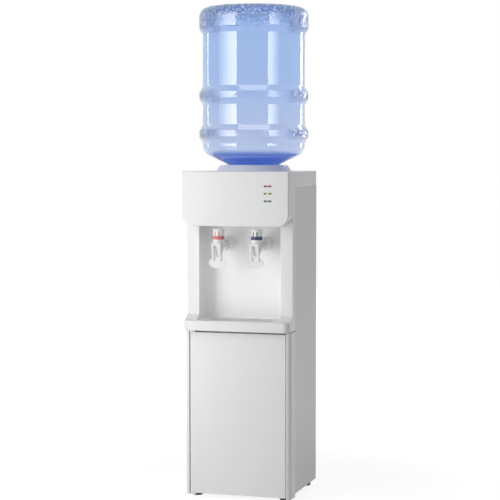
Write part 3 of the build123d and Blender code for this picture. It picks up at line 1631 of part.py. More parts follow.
for hose_name, route_points in hose_routes.items():
    with BuildPart() as hose:
        with BuildLine() as route:
            FilletPolyline(*route_points, radius=hose_bend_r)
        with BuildSketch(Plane(origin=route.line @ 0, z_dir=route.line % 0)) as hose_section:
            Circle(hose_r)
            Circle(hose_bore_r, mode=Mode.SUBTRACT)
        sweep(path=route.line)
    hose.part.label = hose_name
    export_step(hose.part, f"parts/{hose_name}.step")

# Drain spout through the rear panel, and its screw cap
with BuildPart() as drain_spout:
    with BuildSketch(upright(drain_inner_y)) as spout_face:
        with Locations((drain_x, low_hose_level)):
            Circle(drain_spout_r)
    extrude(amount=-(rear + drain_spout_reach - drain_inner_y))
    with BuildSketch(upright(rear)) as spout_flange:
        with Locations((drain_x, low_hose_level)):
            Circle(drain_spout_r + drain_flange_reach)
    extrude(amount=-drain_flange_thickness)
    with BuildSketch(upright(drain_inner_y)) as spout_bore:
        with Locations((drain_x, low_hose_level)):
            Circle(hose_bore_r)
    extrude(amount=-(rear + drain_spout_reach + overrun - drain_inner_y), mode=Mode.SUBTRACT)
drain_spout.part.label = "drain_spout"
export_step(drain_spout.part, "parts/drain_spout.step")

cap_front = rear + drain_flange_thickness + fit_gap
cap_end = rear + drain_spout_reach + fit_gap + drain_cap_wall
drain_cap_r = drain_spout_r + drain_cap_side
with BuildPart() as drain_cap:
    with BuildSketch(upright(cap_front)) as cap_face:
        with Locations((drain_x, low_hose_level)):
            Circle(drain_cap_r)
            with PolarLocations(drain_cap_r, drain_cap_grips):
                Circle(drain_cap_wall / 3, mode=Mode.SUBTRACT)
    extrude(amount=-(cap_end - cap_front))
    with BuildSketch(upright(cap_front)) as cap_bore:
        with Locations((drain_x, low_hose_level)):
            Circle(drain_spout_r + running_gap)
    extrude(amount=-(cap_end - drain_cap_wall - cap_front), mode=Mode.SUBTRACT)
drain_cap.part.label = "drain_cap"
export_step(drain_cap.part, "parts/drain_cap.step")

# Control board on four posts, with a transformer and two relays
board_z = deck_top + board_height
board_y = alcove_y + wall + board_gap + board_length / 2
with BuildPart() as control_board:
    with BuildSketch(Plane.XY.offset(board_z)) as board_plan:
        with Locations((board_x, board_y)):
            Rectangle(board_width, board_length)
    extrude(amount=board_thickness)
    with BuildSketch(Plane.XY.offset(deck_top)) as board_posts:
        with Locations((board_x, board_y)):
            with GridLocations(
                board_width - 4 * board_post_r, board_length - 4 * board_post_r, 2, 2
            ):
                Circle(board_post_r)
    extrude(amount=board_height)
    parts_top = board_z + board_thickness
    with BuildSketch(Plane.XY.offset(parts_top)) as transformer_plan:
        with Locations((board_x, board_y - board_length / 4)):
            Rectangle(transformer_width, transformer_length)
    extrude(amount=transformer_height)
    with BuildSketch(Plane.XY.offset(parts_top)) as relay_plan:
        with Locations((board_x, board_y + board_length / 4)):
            with GridLocations(relay_size + 2 * board_post_r, relay_size, 2, 1):
                Rectangle(relay_size, relay_size)
    extrude(amount=relay_size)
control_board.part.label = "control_board"
export_step(control_board.part, "parts/control_board.step")

# Rear switches: housings through the panel, and one rocker in each
rocker_axis_y = rear - pivot_inset
rocker_width = switch_width - 2 * (switch_body_margin + switch_side_wall)
rocker_half_height = switch_height * rocker_height_share
rocker_rise = rocker_face + rocker_end_rise
rocker_sweep_r = (rocker_half_height**2 + rocker_rise**2) ** 0.5 + rocker_sweep_gap
switch_space_half = rocker_width / 2 + fit_gap
with BuildPart() as switch_housings:
    with BuildSketch(upright(rear)) as bezel_faces:
        with Locations(*[(switch_x, z) for z in switch_heights]):
            RectangleRounded(switch_width, switch_height, switch_bezel / 2)
    extrude(amount=-switch_bezel)
    with BuildSketch(upright(rear)) as switch_bodies:
        with Locations(*[(switch_x, z) for z in switch_heights]):
            Rectangle(
                switch_width - 2 * switch_body_margin,
                switch_height - 2 * switch_body_margin,
            )
    extrude(amount=switch_body_depth)
    with BuildSketch(Plane.YZ.offset(switch_x)) as rocker_spaces:
        for switch_z in switch_heights:
            with Locations((rocker_axis_y, switch_z)):
                Circle(rocker_sweep_r)
            flat_box(
                (rocker_axis_y, rear + switch_bezel + overrun),
                (switch_z - rocker_sweep_r, switch_z + rocker_sweep_r),
            )
    extrude(amount=switch_space_half, both=True, mode=Mode.SUBTRACT)
    with BuildSketch(Plane.YZ.offset(switch_x)) as pivot_holes:
        with Locations(*[(rocker_axis_y, z) for z in switch_heights]):
            Circle(rocker_pin_r + running_gap)
    extrude(amount=switch_space_half + rocker_pin_length, both=True, mode=Mode.SUBTRACT)
switch_housings.part.label = "switch_housings"
export_step(switch_housings.part, "parts/switch_housings.step")

for switch_z, side_name in zip(switch_heights, ("hot", "cold")):
    with BuildPart() as rocker:
        rocker_plane = Plane(
            origin=(switch_x, rocker_axis_y, switch_z), x_dir=(0, 1, 0), z_dir=(1, 0, 0)
        )
        with BuildSketch(rocker_plane) as rocker_section:
            with BuildLine():
                Polyline(
                    (rocker_face, 0),
                    (rocker_rise, rocker_half_height),
                    (0, rocker_half_height),
                    (-rocker_back, rocker_back_half),
                    (-rocker_back, -rocker_back_half),
                    (0, -rocker_half_height),
                    (rocker_rise, -rocker_half_height),
                    close=True,
                )
            make_face()
            add(rocker_section.sketch_local, rotation=rocker_tilt, mode=Mode.REPLACE)
        extrude(amount=rocker_width / 2, both=True)
        with BuildSketch(rocker_plane) as pivot_face:
            Circle(rocker_pin_r)
        extrude(amount=rocker_width / 2 + rocker_pin_length, both=True)
    rocker.part.label = f"{side_name}_switch_rocker"
    export_step(rocker.part, f"parts/{side_name}_switch_rocker.step")

# Cord inlet: an open gland in the rear panel
with BuildPart() as cord_inlet:
    with BuildSketch(upright(rear)) as inlet_flange_face:
        with Locations((switch_x, inlet_z)):
            Circle(inlet_hole_r + 2 * inlet_wall)
    extrude(amount=-inlet_flange)
    with BuildSketch(upright(rear)) as inlet_body_face:
        with Locations((switch_x, inlet_z)):
            Circle(inlet_hole_r + inlet_wall)
    extrude(amount=inlet_depth)
    with BuildSketch(upright(rear + inlet_flange)) as inlet_bore:
        with Locations((switch_x, inlet_z)):
            Circle(inlet_hole_r)
    extrude(amount=inlet_flange + inlet_depth, mode=Mode.SUBTRACT)
cord_inlet.part.label = "cord_inlet"
export_step(cord_inlet.part, "parts/cord_inlet.step")
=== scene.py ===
"""Looks of a bottled-water cooler: rounded shells, the bottle, finishes, stage and camera.

It is laid out as an add-on: each piece or group of pieces has an operator, and main()
runs them in order. Lengths are metres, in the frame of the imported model: X is right,
Y is back and Z is up.
"""

import json
import math

import bmesh
import bpy
from bpy.props import FloatProperty, FloatVectorProperty, IntProperty, PointerProperty
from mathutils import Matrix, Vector, noise


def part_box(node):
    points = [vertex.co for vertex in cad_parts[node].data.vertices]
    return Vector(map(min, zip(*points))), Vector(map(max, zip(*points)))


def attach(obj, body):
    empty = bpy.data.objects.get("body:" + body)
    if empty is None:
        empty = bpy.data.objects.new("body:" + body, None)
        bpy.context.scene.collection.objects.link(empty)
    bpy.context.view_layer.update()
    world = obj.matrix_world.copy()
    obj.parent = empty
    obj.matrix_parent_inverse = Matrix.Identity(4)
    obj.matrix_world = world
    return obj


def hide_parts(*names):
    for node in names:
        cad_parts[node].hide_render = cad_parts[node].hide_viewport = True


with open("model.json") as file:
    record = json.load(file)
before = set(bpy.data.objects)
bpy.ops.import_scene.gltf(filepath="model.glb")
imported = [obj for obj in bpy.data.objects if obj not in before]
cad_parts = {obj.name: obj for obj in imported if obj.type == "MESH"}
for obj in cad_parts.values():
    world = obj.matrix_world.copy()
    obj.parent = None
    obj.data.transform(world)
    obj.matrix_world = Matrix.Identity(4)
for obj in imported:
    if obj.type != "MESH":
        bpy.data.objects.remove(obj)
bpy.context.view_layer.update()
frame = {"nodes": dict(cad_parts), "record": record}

bl_info = {
    "name": "Water cooler looks",
    "version": (1, 0, 0),
    "blender": (4, 5, 0),
    "location": "3D View > Sidebar > Cooler",
    "description": "Finishes and detailed pieces for a bottled-water cooler",
    "category": "Object",
}

MM = 0.001
BODY_OF = {
    node: body
    for body, nodes in frame["record"]["behaviour"]["bodies"].items()
    for node in nodes
}

# Rounded shells of the CAD nodes: which vertices are one, which faces are one plane, and
# from which angle an edge is sharp.
WELD = 0.002 * MM
FLAT_ANGLE = math.radians(0.2)
SHARP_ANGLE = math.radians(32)
MOULDED_NODES = ("apron_cover", "top_cover", "front_moulding", "storage_door", "lower_front_frame")

# The bottle's profile: levels above the floor, radii, and the radii of its corners.
BAND_TOP = 1174 * MM
TOP_BAND_FOOT = 1146 * MM
BAND_MIDDLES = (981 * MM, 887 * MM)
BAND_HALF = 7.5 * MM
BAND_RAMP = 15 * MM
PUNT_DEPTH = 14 * MM
PUNT_R, PUNT_RIM_R = 70 * MM, 88 * MM
NECK_R = 27.5 * MM
SHOULDER_SLOPE = 0.44
SHOULDER_R, SHOULDER_Z = 103 * MM, 829.5 * MM
PUNT_CORNER = NECK_CORNER = 6 * MM
BAND_CORNER, BARREL_CORNER = 4 * MM, 8 * MM
SHOULDER_CORNER = 30 * MM
OUTER_ARC_STEP, OUTER_STEP = 1.5 * MM, 1.7 * MM
INNER_ARC_STEP, INNER_STEP = 3 * MM, 8 * MM
AXIS_WELD = 0.005 * MM

# Where the bottle's tint changes, and its pebbled grips: two sides of each band, turned
# about the axis, that start at a share of the band's radius.
CONE_FOOT, CONE_HEAD = 826 * MM, 848 * MM
LOWER_HALF, UPPER_HALF = 862 * MM, 1060 * MM
# Painted shade colours the cone deep blue; the haze is a random tone of the plastic.
CONE_PAINTED_SHADE, HAZE_TINT = 0.9, 0.08
GRIP_TURN = math.radians(17)
GRIP_FROM, GRIP_FADE = 0.55, 0.2
GRIP_LEAST_LOOK, GRIP_LEAST_DEPTH = 0.12, 0.15
RIM_RISE = 6 * MM
GROOVE_WIDTH = 0.45
# Painted shade darkens the grooves between the pebbles on the rim and grips.
PEBBLE_PAINTED_SHADE = 0.5
# Painted glints: the pebbles' middles glow, though the plastic is no lamp.
PEBBLE_PAINTED_GLINT = 0.22
GROOVE_EDGE, PAINTED_GLINT_EDGE = (0.35, 0.55), (0.16, 0.36)
BAND_LOOK_FADE, RIM_LOOK_FADE = 4 * MM, 4 * MM
TOP_BAND_LOOK_FADE = 3 * MM
BOTTLE_SHADE = (0.8, 0.87, 0.96)

# Stage: the floor, the world's light on the object, and the camera.
FLOOR_HALF = 6.0
FLOOR_GLOW = 0.72
FLOOR_STRENGTH = 1.22
SHADOW_REACH = (0.35, 1.3)
AMBIENT = 0.31
CAMERA_PLACE = (1.157, -3.759, 0.826)
CAMERA_PITCH = -3.29
CAMERA_TURN = 17.2
CAMERA_LENS = 114.3
SENSOR_WIDTH = 36.0

# Lamps: azimuth in degrees, distance, height, width, tall, power, the height aimed at, and
# where across the lamp its light fades in. A faded edge keeps a share of the light.
EVEN = (-1.0, 0.0)
FADED_SHARE = 0.15
SOFTBOXES = {
    "key_softbox": (-42.0, 1.15, 0.7, 0.9, 1.7, 13.0, 0.52, (0.0, 1.0)),
    "front_fill": (-20.0, 0.95, 0.5, 0.5, 1.5, 1.9, 0.5, EVEN),
    "alcove_fill": (0.0, 0.137, 0.55, 0.18, 0.2, 0.04, 0.55, EVEN),
}
GLINTS = {
    "key_glint": (-43.0, 1.55, 1.25, 1.3, 1.3, 42.0, 1.05, (0.0, 0.9)),
    "right_glint": (60.5, 1.9, 1.25, 0.85, 1.3, 30.0, 1.05, (1.0, 0.1)),
    "left_rim_glint": (-106.0, 2.0, 1.25, 0.12, 1.3, 3.0, 1.05, EVEN),
    "right_rim_glint": (149.0, 2.0, 1.25, 0.26, 1.3, 14.0, 1.05, EVEN),
    "top_glint": (17.0, 0.9, 2.3, 1.6, 0.4, 8.0, 1.0, EVEN),
}
GLINT_GROUP = "bottle_glints"
ALCOVE_GROUP = "alcove_light"


def colour_property(name, description, default):
    """A colour that a user may change, as linear red, green and blue."""
    return FloatVectorProperty(
        name=name, description=description, subtype="COLOR", size=3, min=0, max=1, default=default
    )


def length_property(name, description, default):
    """A length that a user may change, in metres."""
    return FloatProperty(name=name, description=description, default=default, unit="LENGTH")


class CoolerSizes(bpy.types.PropertyGroup):
    """Sizes that the CAD frame doesn't give."""

    edge_round: length_property("Edge round", "Rounding of the moulded edges", 0.8 * MM)
    fine_round: length_property("Fine round", "Rounding of the small parts' edges", 0.35 * MM)
    bottle_wall: length_property("Bottle wall", "Thickness of the bottle's wall", 1.6 * MM)
    band_rise: length_property("Band rise", "How far the bands stand out", 8.5 * MM)
    pebble_size: length_property("Pebble size", "Width of one pebble on the bands", 6 * MM)
    pebble_depth: length_property("Pebble depth", "Depth of the grooves between them", 0.6 * MM)
    bottle_sides: IntProperty(
        name="Bottle sides", description="Faces round the bottle", default=480, min=64
    )


class CoolerColours(bpy.types.PropertyGroup):
    """Colours of the main finishes."""

    body: colour_property("Body", "White of the moulded body", (0.84, 0.84, 0.845))
    panel: colour_property("Panels", "Painted side panels", (0.8, 0.805, 0.82))
    tap: colour_property("Taps", "Taps and levers", (0.88, 0.875, 0.86))
    bottle: colour_property("Bottle", "Tint of the bottle's wall", (0.57, 0.69, 0.89))
    bottle_pale: colour_property("Bottle, low", "Tint above the shoulder", (0.65, 0.72, 0.87))
    # Painted shade: the colour that the cone and the grooves between pebbles are darkened towards.
    bottle_painted_shade: colour_property("Bottle, deep", "Tint of its rim and cone", (0.13, 0.26, 0.72))
    hot: colour_property("Hot ring", "Ring of the hot tap", (0.68, 0.16, 0.2))
    cold: colour_property("Cold ring", "Ring of the cold tap", (0.012, 0.04, 0.13))


class Link:
    """A shader socket that takes part in Python expressions; each adds its Math node."""

    def __init__(self, graph, output):
        self.graph = graph
        self.output = output

    def maths(self, operation, first, second=0.0):
        """A Math node on two values or links."""
        return self.graph.add("ShaderNodeMath", {"operation": operation}, {0: first, 1: second})

    def __add__(self, other):
        return self.maths("ADD", self, other)

    def __sub__(self, other):
        return self.maths("SUBTRACT", self, other)

    def __rsub__(self, other):
        return self.maths("SUBTRACT", other, self)

    def __mul__(self, other):
        return self.maths("MULTIPLY", self, other)

    def __abs__(self):
        return self.maths("ABSOLUTE", self)

    __radd__ = __add__
    __rmul__ = __mul__


class Graph:
    """A node tree under construction."""

    def __init__(self, tree):
        self.tree = tree

    def add(self, kind, settings=None, sockets=None, output=0):
        """A node of any type: its settings first, then its sockets' values or links."""
        node = self.tree.nodes.new(kind)
        for name, value in (settings or {}).items():
            setattr(node, name, value)
        for key, value in (sockets or {}).items():
            self.feed(node.inputs[key], value)
        return Link(self, node.outputs[output])

    def feed(self, socket, value):
        """Links a socket, or sets its value."""
        if isinstance(value, Link):
            self.tree.links.new(value.output, socket)
        else:
            socket.default_value = value

    def place(self):
        """The point on the model, in metres."""
        return self.add("ShaderNodeTexCoord", output="Object")

    def along(self, axis):
        """One coordinate of the point on the model."""
        return self.add("ShaderNodeSeparateXYZ", sockets={0: self.place()}, output=axis)

    def cloud(self, size, detail=2.0, stretch=(1.0, 1.0, 1.0)):
        """Noise from 0 to 1 whose patches are about as wide as size, in metres."""
        spread = self.add("ShaderNodeMapping", sockets={"Vector": self.place(), "Scale": stretch})
        return self.add(
            "ShaderNodeTexNoise", sockets={"Vector": spread, "Scale": 1 / size, "Detail": detail}
        )

    def cells(self, size):
        """Distance from the middles of cells about as wide as size, in metres."""
        return self.add(
            "ShaderNodeTexVoronoi", sockets={"Vector": self.place(), "Scale": 1 / size}
        )

    def ramp(self, value, low, high):
        """0 below low and 1 above high, smooth between them."""
        return self.add(
            "ShaderNodeMapRange",
            {"interpolation_type": "SMOOTHSTEP"},
            {"Value": value, "From Min": low, "From Max": high},
        )

    def clamp(self, value):
        """The value, kept from 0 to 1."""
        return self.add("ShaderNodeClamp", sockets={"Value": value})

    def mix(self, factor, first, second):
        """A colour between two colours."""
        first, second = (c if isinstance(c, Link) else (*c, 1.0) for c in (first, second))
        return self.add(
            "ShaderNodeMix", {"data_type": "RGBA"}, {0: factor, 6: first, 7: second}, output=2
        )

    def bump(self, height, depth):
        """A normal from a height of 0 to 1 that stands for depth, in metres."""
        return self.add("ShaderNodeBump", sockets={"Height": height, "Distance": depth})

    def shown(self):
        """1 to the camera, to gloss and through clear plastic, and 0 to light on the object."""
        rays = ("Is Camera Ray", "Is Glossy Ray", "Is Transmission Ray")
        camera, gloss, clear = (self.add("ShaderNodeLightPath", output=ray) for ray in rays)
        return self.clamp(camera + gloss + clear)


class Finish(Graph):
    """A material with one shader: fixed values stay on its own sockets."""

    def __init__(self, name, fixed):
        self.material = bpy.data.materials.new(name)
        self.material.use_nodes = True
        super().__init__(self.material.node_tree)
        self.shader = self.tree.nodes["Principled BSDF"]
        for socket, value in fixed.items():
            self.shader.inputs[socket].default_value = value

    def drive(self, **sockets):
        """Feeds the sockets that change over the surface, such as base_color=."""
        for name, value in sockets.items():
            self.feed(self.shader.inputs[name.replace("_", " ").title()], value)
        return self.material

    def overlay(self, factor, other):
        """Shows another shader in place of this one, as far as a factor of 0 to 1."""
        own = Link(self, self.shader.outputs["BSDF"])
        surface = self.add("ShaderNodeMixShader", sockets={0: factor, 1: own, 2: other})
        self.feed(self.tree.nodes["Material Output"].inputs["Surface"], surface)
        return self.material

    def lets_light_through(self, tint):
        """Lets the lamps' light pass straight through, so that a clear piece's shadow is light."""
        shadow = self.add("ShaderNodeLightPath", output="Is Shadow Ray")
        open_side = self.add("ShaderNodeBsdfTransparent", sockets={"Color": (*tint, 1.0)})
        return self.overlay(shadow, open_side)


def scaled(colour, factor):
    """A colour made lighter or darker, kept in range."""
    return tuple(min(1.0, max(0.0, part * factor)) for part in colour)


def plastic(name, colour, roughness=0.32, coat=0.0):
    """Moulded plastic: faint cloudiness, a fine moulded grain and handling marks in the gloss."""
    finish = Finish(name, {"Coat Weight": coat, "Coat Roughness": 0.12, "IOR": 1.49})
    tone = finish.cloud(90 * MM, detail=3)
    wear = finish.cloud(14 * MM, detail=4)
    grain = finish.cloud(0.25 * MM, detail=1)
    return finish.drive(
        base_color=finish.mix(tone, scaled(colour, 0.985), scaled(colour, 1.012)),
        roughness=roughness + 0.06 * (wear - 0.5),
        normal=finish.bump(grain, 0.02 * MM),
    )


def painted_steel(name, colour, roughness=0.36):
    """Powder-coated sheet: an orange-peel skin over a slightly uneven tone."""
    finish = Finish(name, {"IOR": 1.5})
    tone = finish.cloud(160 * MM, detail=2)
    wear = finish.cloud(30 * MM, detail=3)
    skin = finish.cloud(1.1 * MM, detail=2)
    return finish.drive(
        base_color=finish.mix(tone, scaled(colour, 0.975), scaled(colour, 1.01)),
        roughness=roughness + 0.08 * (wear - 0.5),
        normal=finish.bump(skin, 0.03 * MM),
    )


def galvanised_steel(name):
    """Zinc-coated sheet: crystal spangle with its own shade and gloss."""
    finish = Finish(name, {"Metallic": 0.9})
    spangle = finish.cells(9 * MM)
    streaks = finish.cloud(3 * MM, detail=3, stretch=(1.0, 1.0, 0.15))
    return finish.drive(
        base_color=finish.mix(spangle, (0.5, 0.51, 0.52), (0.68, 0.69, 0.7)),
        roughness=0.34 + 0.25 * spangle + 0.1 * (streaks - 0.5),
        normal=finish.bump(spangle, 0.02 * MM),
    )


def brushed_metal(name, colour, roughness=0.28, stretch=(0.04, 0.04, 1.0)):
    """Metal with long brush lines, closer together across the stretch."""
    finish = Finish(name, {"Metallic": 1.0})
    lines = finish.cloud(0.5 * MM, detail=3, stretch=stretch)
    return finish.drive(
        base_color=finish.mix(lines, scaled(colour, 0.88), scaled(colour, 1.08)),
        roughness=roughness + 0.16 * (lines - 0.5),
        normal=finish.bump(lines, 0.01 * MM),
    )


def rubber(name, colour):
    """Matt rubber with a fine dusty bloom."""
    finish = Finish(name, {"IOR": 1.45})
    bloom = finish.cloud(4 * MM, detail=4)
    return finish.drive(
        base_color=finish.mix(bloom, colour, tuple(part + 0.025 for part in colour)),
        roughness=0.62 + 0.2 * bloom,
        normal=finish.bump(finish.cloud(0.6 * MM), 0.05 * MM),
    )


def expanded_foam(name):
    """Moulded foam beads: round cells with darker joints."""
    finish = Finish(name, {"IOR": 1.3})
    bead = finish.cells(4.5 * MM)
    return finish.drive(
        base_color=finish.mix(bead, (0.82, 0.81, 0.77), (0.6, 0.59, 0.55)),
        roughness=0.8 + 0.1 * bead,
        normal=finish.bump(1 - bead, 0.5 * MM),
    )


def soft_tube(name):
    """Milky silicone tube."""
    finish = Finish(name, {"Subsurface Weight": 0.3, "Subsurface Scale": 2 * MM, "IOR": 1.41})
    cloudiness = finish.cloud(8 * MM, detail=3)
    return finish.drive(
        base_color=finish.mix(cloudiness, (0.62, 0.65, 0.66), (0.78, 0.8, 0.8)),
        roughness=0.3 + 0.15 * cloudiness,
        normal=finish.bump(finish.cloud(1.5 * MM), 0.03 * MM),
    )


def circuit_board(name):
    """Green solder mask over a pattern of tracks, with tinned pads."""
    finish = Finish(name, {"IOR": 1.55, "Coat Weight": 0.3})
    tracks = finish.add(
        "ShaderNodeTexBrick",
        {"offset": 0.5},
        {"Vector": finish.place(), "Scale": 160.0, "Mortar Size": 0.06, "Mortar Smooth": 0.1},
        output="Fac",
    )
    pads = 1 - finish.ramp(finish.cells(6 * MM), 0.16, 0.2)
    mask = finish.mix(tracks, (0.02, 0.16, 0.06), (0.05, 0.3, 0.12))
    return finish.drive(
        base_color=finish.mix(pads, mask, (0.7, 0.68, 0.6)),
        roughness=0.35 - 0.1 * pads,
        metallic=pads,
        normal=finish.bump(tracks, 0.03 * MM),
    )


def lens(name, glow, middle, half_length):
    """Clear indicator window: painted glow in the middle, painted shade at the dark ends."""
    finish = Finish(name, {"IOR": 1.5, "Coat Weight": 0.6, "Coat Roughness": 0.08})
    off_middle = abs(finish.along("X") - middle)
    # Painted shade: the window's ends are dark, away from the glow.
    painted_end_shade = finish.ramp(off_middle, 0.3 * half_length, 0.62 * half_length)
    speckle = finish.cloud(2.2 * MM, detail=3)
    # Painted glow: the middle is coloured as if lit, with a random speckle, though no lamp is
    # there.
    lit = finish.mix(speckle, scaled(glow, 0.6), scaled(glow, 1.25))
    return finish.drive(
        base_color=finish.mix(painted_end_shade, lit, (0.05, 0.03, 0.03)),
        roughness=0.25 + 0.2 * speckle,
        normal=finish.bump(speckle, 0.1 * MM),
    )


def pebble_mask(finish, height, axis, band_r):
    """1 on the bottle's grips and top rim, less on the rest of its bands, and 0 elsewhere."""
    across = (finish.along("X") - axis[0]) * math.cos(GRIP_TURN)
    across = across + (finish.along("Y") - axis[1]) * math.sin(GRIP_TURN)
    grip = finish.ramp(abs(across), GRIP_FROM * band_r, (GRIP_FROM + GRIP_FADE) * band_r)
    grip = GRIP_LEAST_LOOK + (1 - GRIP_LEAST_LOOK) * grip
    bands = finish.ramp(height, TOP_BAND_FOOT - TOP_BAND_LOOK_FADE, TOP_BAND_FOOT)
    for middle in BAND_MIDDLES:
        off_middle = abs(height - middle)
        bands = bands + 1 - finish.ramp(off_middle, BAND_HALF, BAND_HALF + BAND_LOOK_FADE)
    rim = finish.ramp(height, BAND_TOP - RIM_LOOK_FADE, BAND_TOP + RIM_LOOK_FADE)
    return finish.clamp(bands * grip + rim)


def bottle_plastic(name, tints, axis, band_r, pebble_size):
    """Clear blue plastic, paler low down; painted shade at the cone and pebble grooves, painted
    glints.
    """
    tint, pale, deep = tints
    # The emission is a painted glint on the pebbles.
    clear = {"Transmission Weight": 1.0, "IOR": 1.5, "Emission Strength": PEBBLE_PAINTED_GLINT}
    finish = Finish(name, clear)
    height = finish.along("Z")
    lower = 1 - finish.ramp(height, LOWER_HALF, UPPER_HALF)
    # Painted shade: the cone is coloured deep blue.
    cone = 1 - finish.ramp(height, CONE_FOOT, CONE_HEAD)
    pebbled = pebble_mask(finish, height, axis, band_r)
    spots = finish.cells(pebble_size)
    # The grooves between pebbles: a relief for the bump, and painted shade in the colour.
    groove_relief_and_shade = finish.ramp(spots, *GROOVE_EDGE)
    # Painted glints on the middles of the pebbles.
    painted_glint = pebbled * (1 - finish.ramp(spots, *PAINTED_GLINT_EDGE))
    haze = finish.cloud(45 * MM, detail=3)
    # How far the colour goes to the deep tint: painted shade in the pebble grooves and at the cone,
    # and a random haze.
    depth = pebbled * (PEBBLE_PAINTED_SHADE * groove_relief_and_shade) + CONE_PAINTED_SHADE * cone + HAZE_TINT * (haze - 0.5)
    ripple = finish.cloud(16 * MM, detail=2)
    finish.drive(
        base_color=finish.mix(finish.clamp(depth), finish.mix(lower, tint, pale), deep),
        roughness=0.02 + 0.06 * pebbled,
        # Painted glints glow pale blue on the pebbles, though no lamp is there.
        emission_color=finish.mix(painted_glint, (0.0, 0.0, 0.0), (0.7, 0.85, 1.0)),
        normal=finish.bump(0.2 * ripple + pebbled * groove_relief_and_shade, 1.2 * MM),
    )
    return finish.lets_light_through(BOTTLE_SHADE)


def make_object(name, mesh):
    """A new object in the scene, standing where its mesh says."""
    piece = bpy.data.objects.new(name, mesh)
    bpy.context.collection.objects.link(piece)
    return piece


def dress(piece, material, *nodes):
    """Gives a piece its finish and its CAD body, in place of the nodes it stands for."""
    piece.data.materials.clear()
    piece.data.materials.append(material)
    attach(piece, BODY_OF[nodes[0]])
    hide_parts(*nodes)
    return piece


def apply_modifiers(piece):
    """Turns a piece's modifiers into mesh."""
    depsgraph = bpy.context.evaluated_depsgraph_get()
    mesh = bpy.data.meshes.new_from_object(
        piece.evaluated_get(depsgraph), preserve_all_data_layers=True, depsgraph=depsgraph
    )
    piece.modifiers.clear()
    piece.data = mesh


def rounded(node, width, material, segments=2):
    """A copy of a CAD node with its sharp edges rounded, in the node's place."""
    mesh = frame["nodes"][node].data.copy()
    shell = bmesh.new()
    shell.from_mesh(mesh)
    bmesh.ops.remove_doubles(shell, verts=shell.verts, dist=WELD)
    bmesh.ops.dissolve_limit(
        shell, angle_limit=FLAT_ANGLE, verts=shell.verts, edges=shell.edges
    )
    for face in shell.faces:
        face.smooth = True
    for edge in shell.edges:
        edge.smooth = edge.calc_face_angle(0.0) < SHARP_ANGLE
    shell.to_mesh(mesh)
    shell.free()
    while mesh.attributes.get("custom_normal"):
        mesh.attributes.remove(mesh.attributes["custom_normal"])
    piece = make_object(f"{node}_shell", mesh)
    bevel = piece.modifiers.new("Rounded edges", "BEVEL")
    bevel.width = width
    bevel.segments = segments
    bevel.limit_method = "ANGLE"
    bevel.angle_limit = SHARP_ANGLE
    bevel.miter_outer = "MITER_ARC"
    bevel.harden_normals = True
    apply_modifiers(piece)
    return dress(piece, material, node)


def paint(material, *nodes):
    """Gives CAD nodes a finish and leaves their shape alone."""
    for node in nodes:
        slots = frame["nodes"][node].data.materials
        slots.clear()
        slots.append(material)


def rounded_outline(corners, step):
    """Points along an outline of (r, z, corner radius), with each corner turned into an arc."""
    outline = []
    for number, (r, z, radius) in enumerate(corners):
        here = Vector((r, z))
        if radius == 0 or number in (0, len(corners) - 1):
            outline.append(here)
            continue
        back = (Vector(corners[number - 1][:2]) - here).normalized()
        ahead = (Vector(corners[number + 1][:2]) - here).normalized()
        half_turn = (math.pi - back.angle(ahead)) / 2
        reach = radius * math.tan(half_turn)
        centre = here + (back + ahead).normalized() * (radius / math.cos(half_turn))
        start = here + back * reach - centre
        end = here + ahead * reach - centre
        sweep = start.angle_signed(end)
        count = max(3, round(abs(sweep) * radius / step))
        for part in range(count + 1):
            turn = -sweep * part / count
            cos, sin = math.cos(turn), math.sin(turn)
            outline.append(
                centre + Vector((start.x * cos - start.y * sin, start.x * sin + start.y * cos))
            )
    return outline


def filled_in(outline, step):
    """The same outline with its long straight runs divided."""
    points = [outline[0]]
    for here, there in zip(outline, outline[1:]):
        parts = max(1, round((there - here).length / step))
        points += [here.lerp(there, part / parts) for part in range(1, parts + 1)]
    return points


def moved_inwards(outline, distance):
    """An outline moved sideways by a wall's thickness, towards the axis."""
    inner = []
    for number, point in enumerate(outline):
        before = outline[max(number - 1, 0)]
        after = outline[min(number + 1, len(outline) - 1)]
        along = (after - before).normalized()
        inner.append(point + Vector((along.y, -along.x)) * distance)
    return inner


def spun(name, loop, axis, sides, shift):
    """A solid of revolution about an upright axis; shift moves a point sideways and up."""
    mesh = bpy.data.meshes.new(name)
    vertices, faces = [], []
    for r, z in loop:
        for side in range(sides):
            turn = 2 * math.pi * side / sides
            radius, height = shift(r, z, turn)
            vertices.append(
                (axis[0] + radius * math.sin(turn), axis[1] - radius * math.cos(turn), height)
            )
    for ring in range(len(loop) - 1):
        for side in range(sides):
            after = (side + 1) % sides
            low, high = ring * sides, (ring + 1) * sides
            faces.append((low + side, low + after, high + after, high + side))
    mesh.from_pydata(vertices, [], faces)
    solid = bmesh.new()
    solid.from_mesh(mesh)
    bmesh.ops.remove_doubles(solid, verts=solid.verts, dist=AXIS_WELD)
    bmesh.ops.recalc_face_normals(solid, faces=solid.faces)
    for face in solid.faces:
        face.smooth = True
    solid.to_mesh(mesh)
    solid.free()
    return make_object(name, mesh)


class StageOperator(bpy.types.Operator):
    """Floor, lights, background and camera"""

    bl_idname = "cooler.stage"
    bl_label = "Stage"

    def execute(self, context):
        make_floor()
        make_world()
        make_softboxes()
        make_camera()
        context.scene.view_settings.view_transform = "Standard"
        return {"FINISHED"}


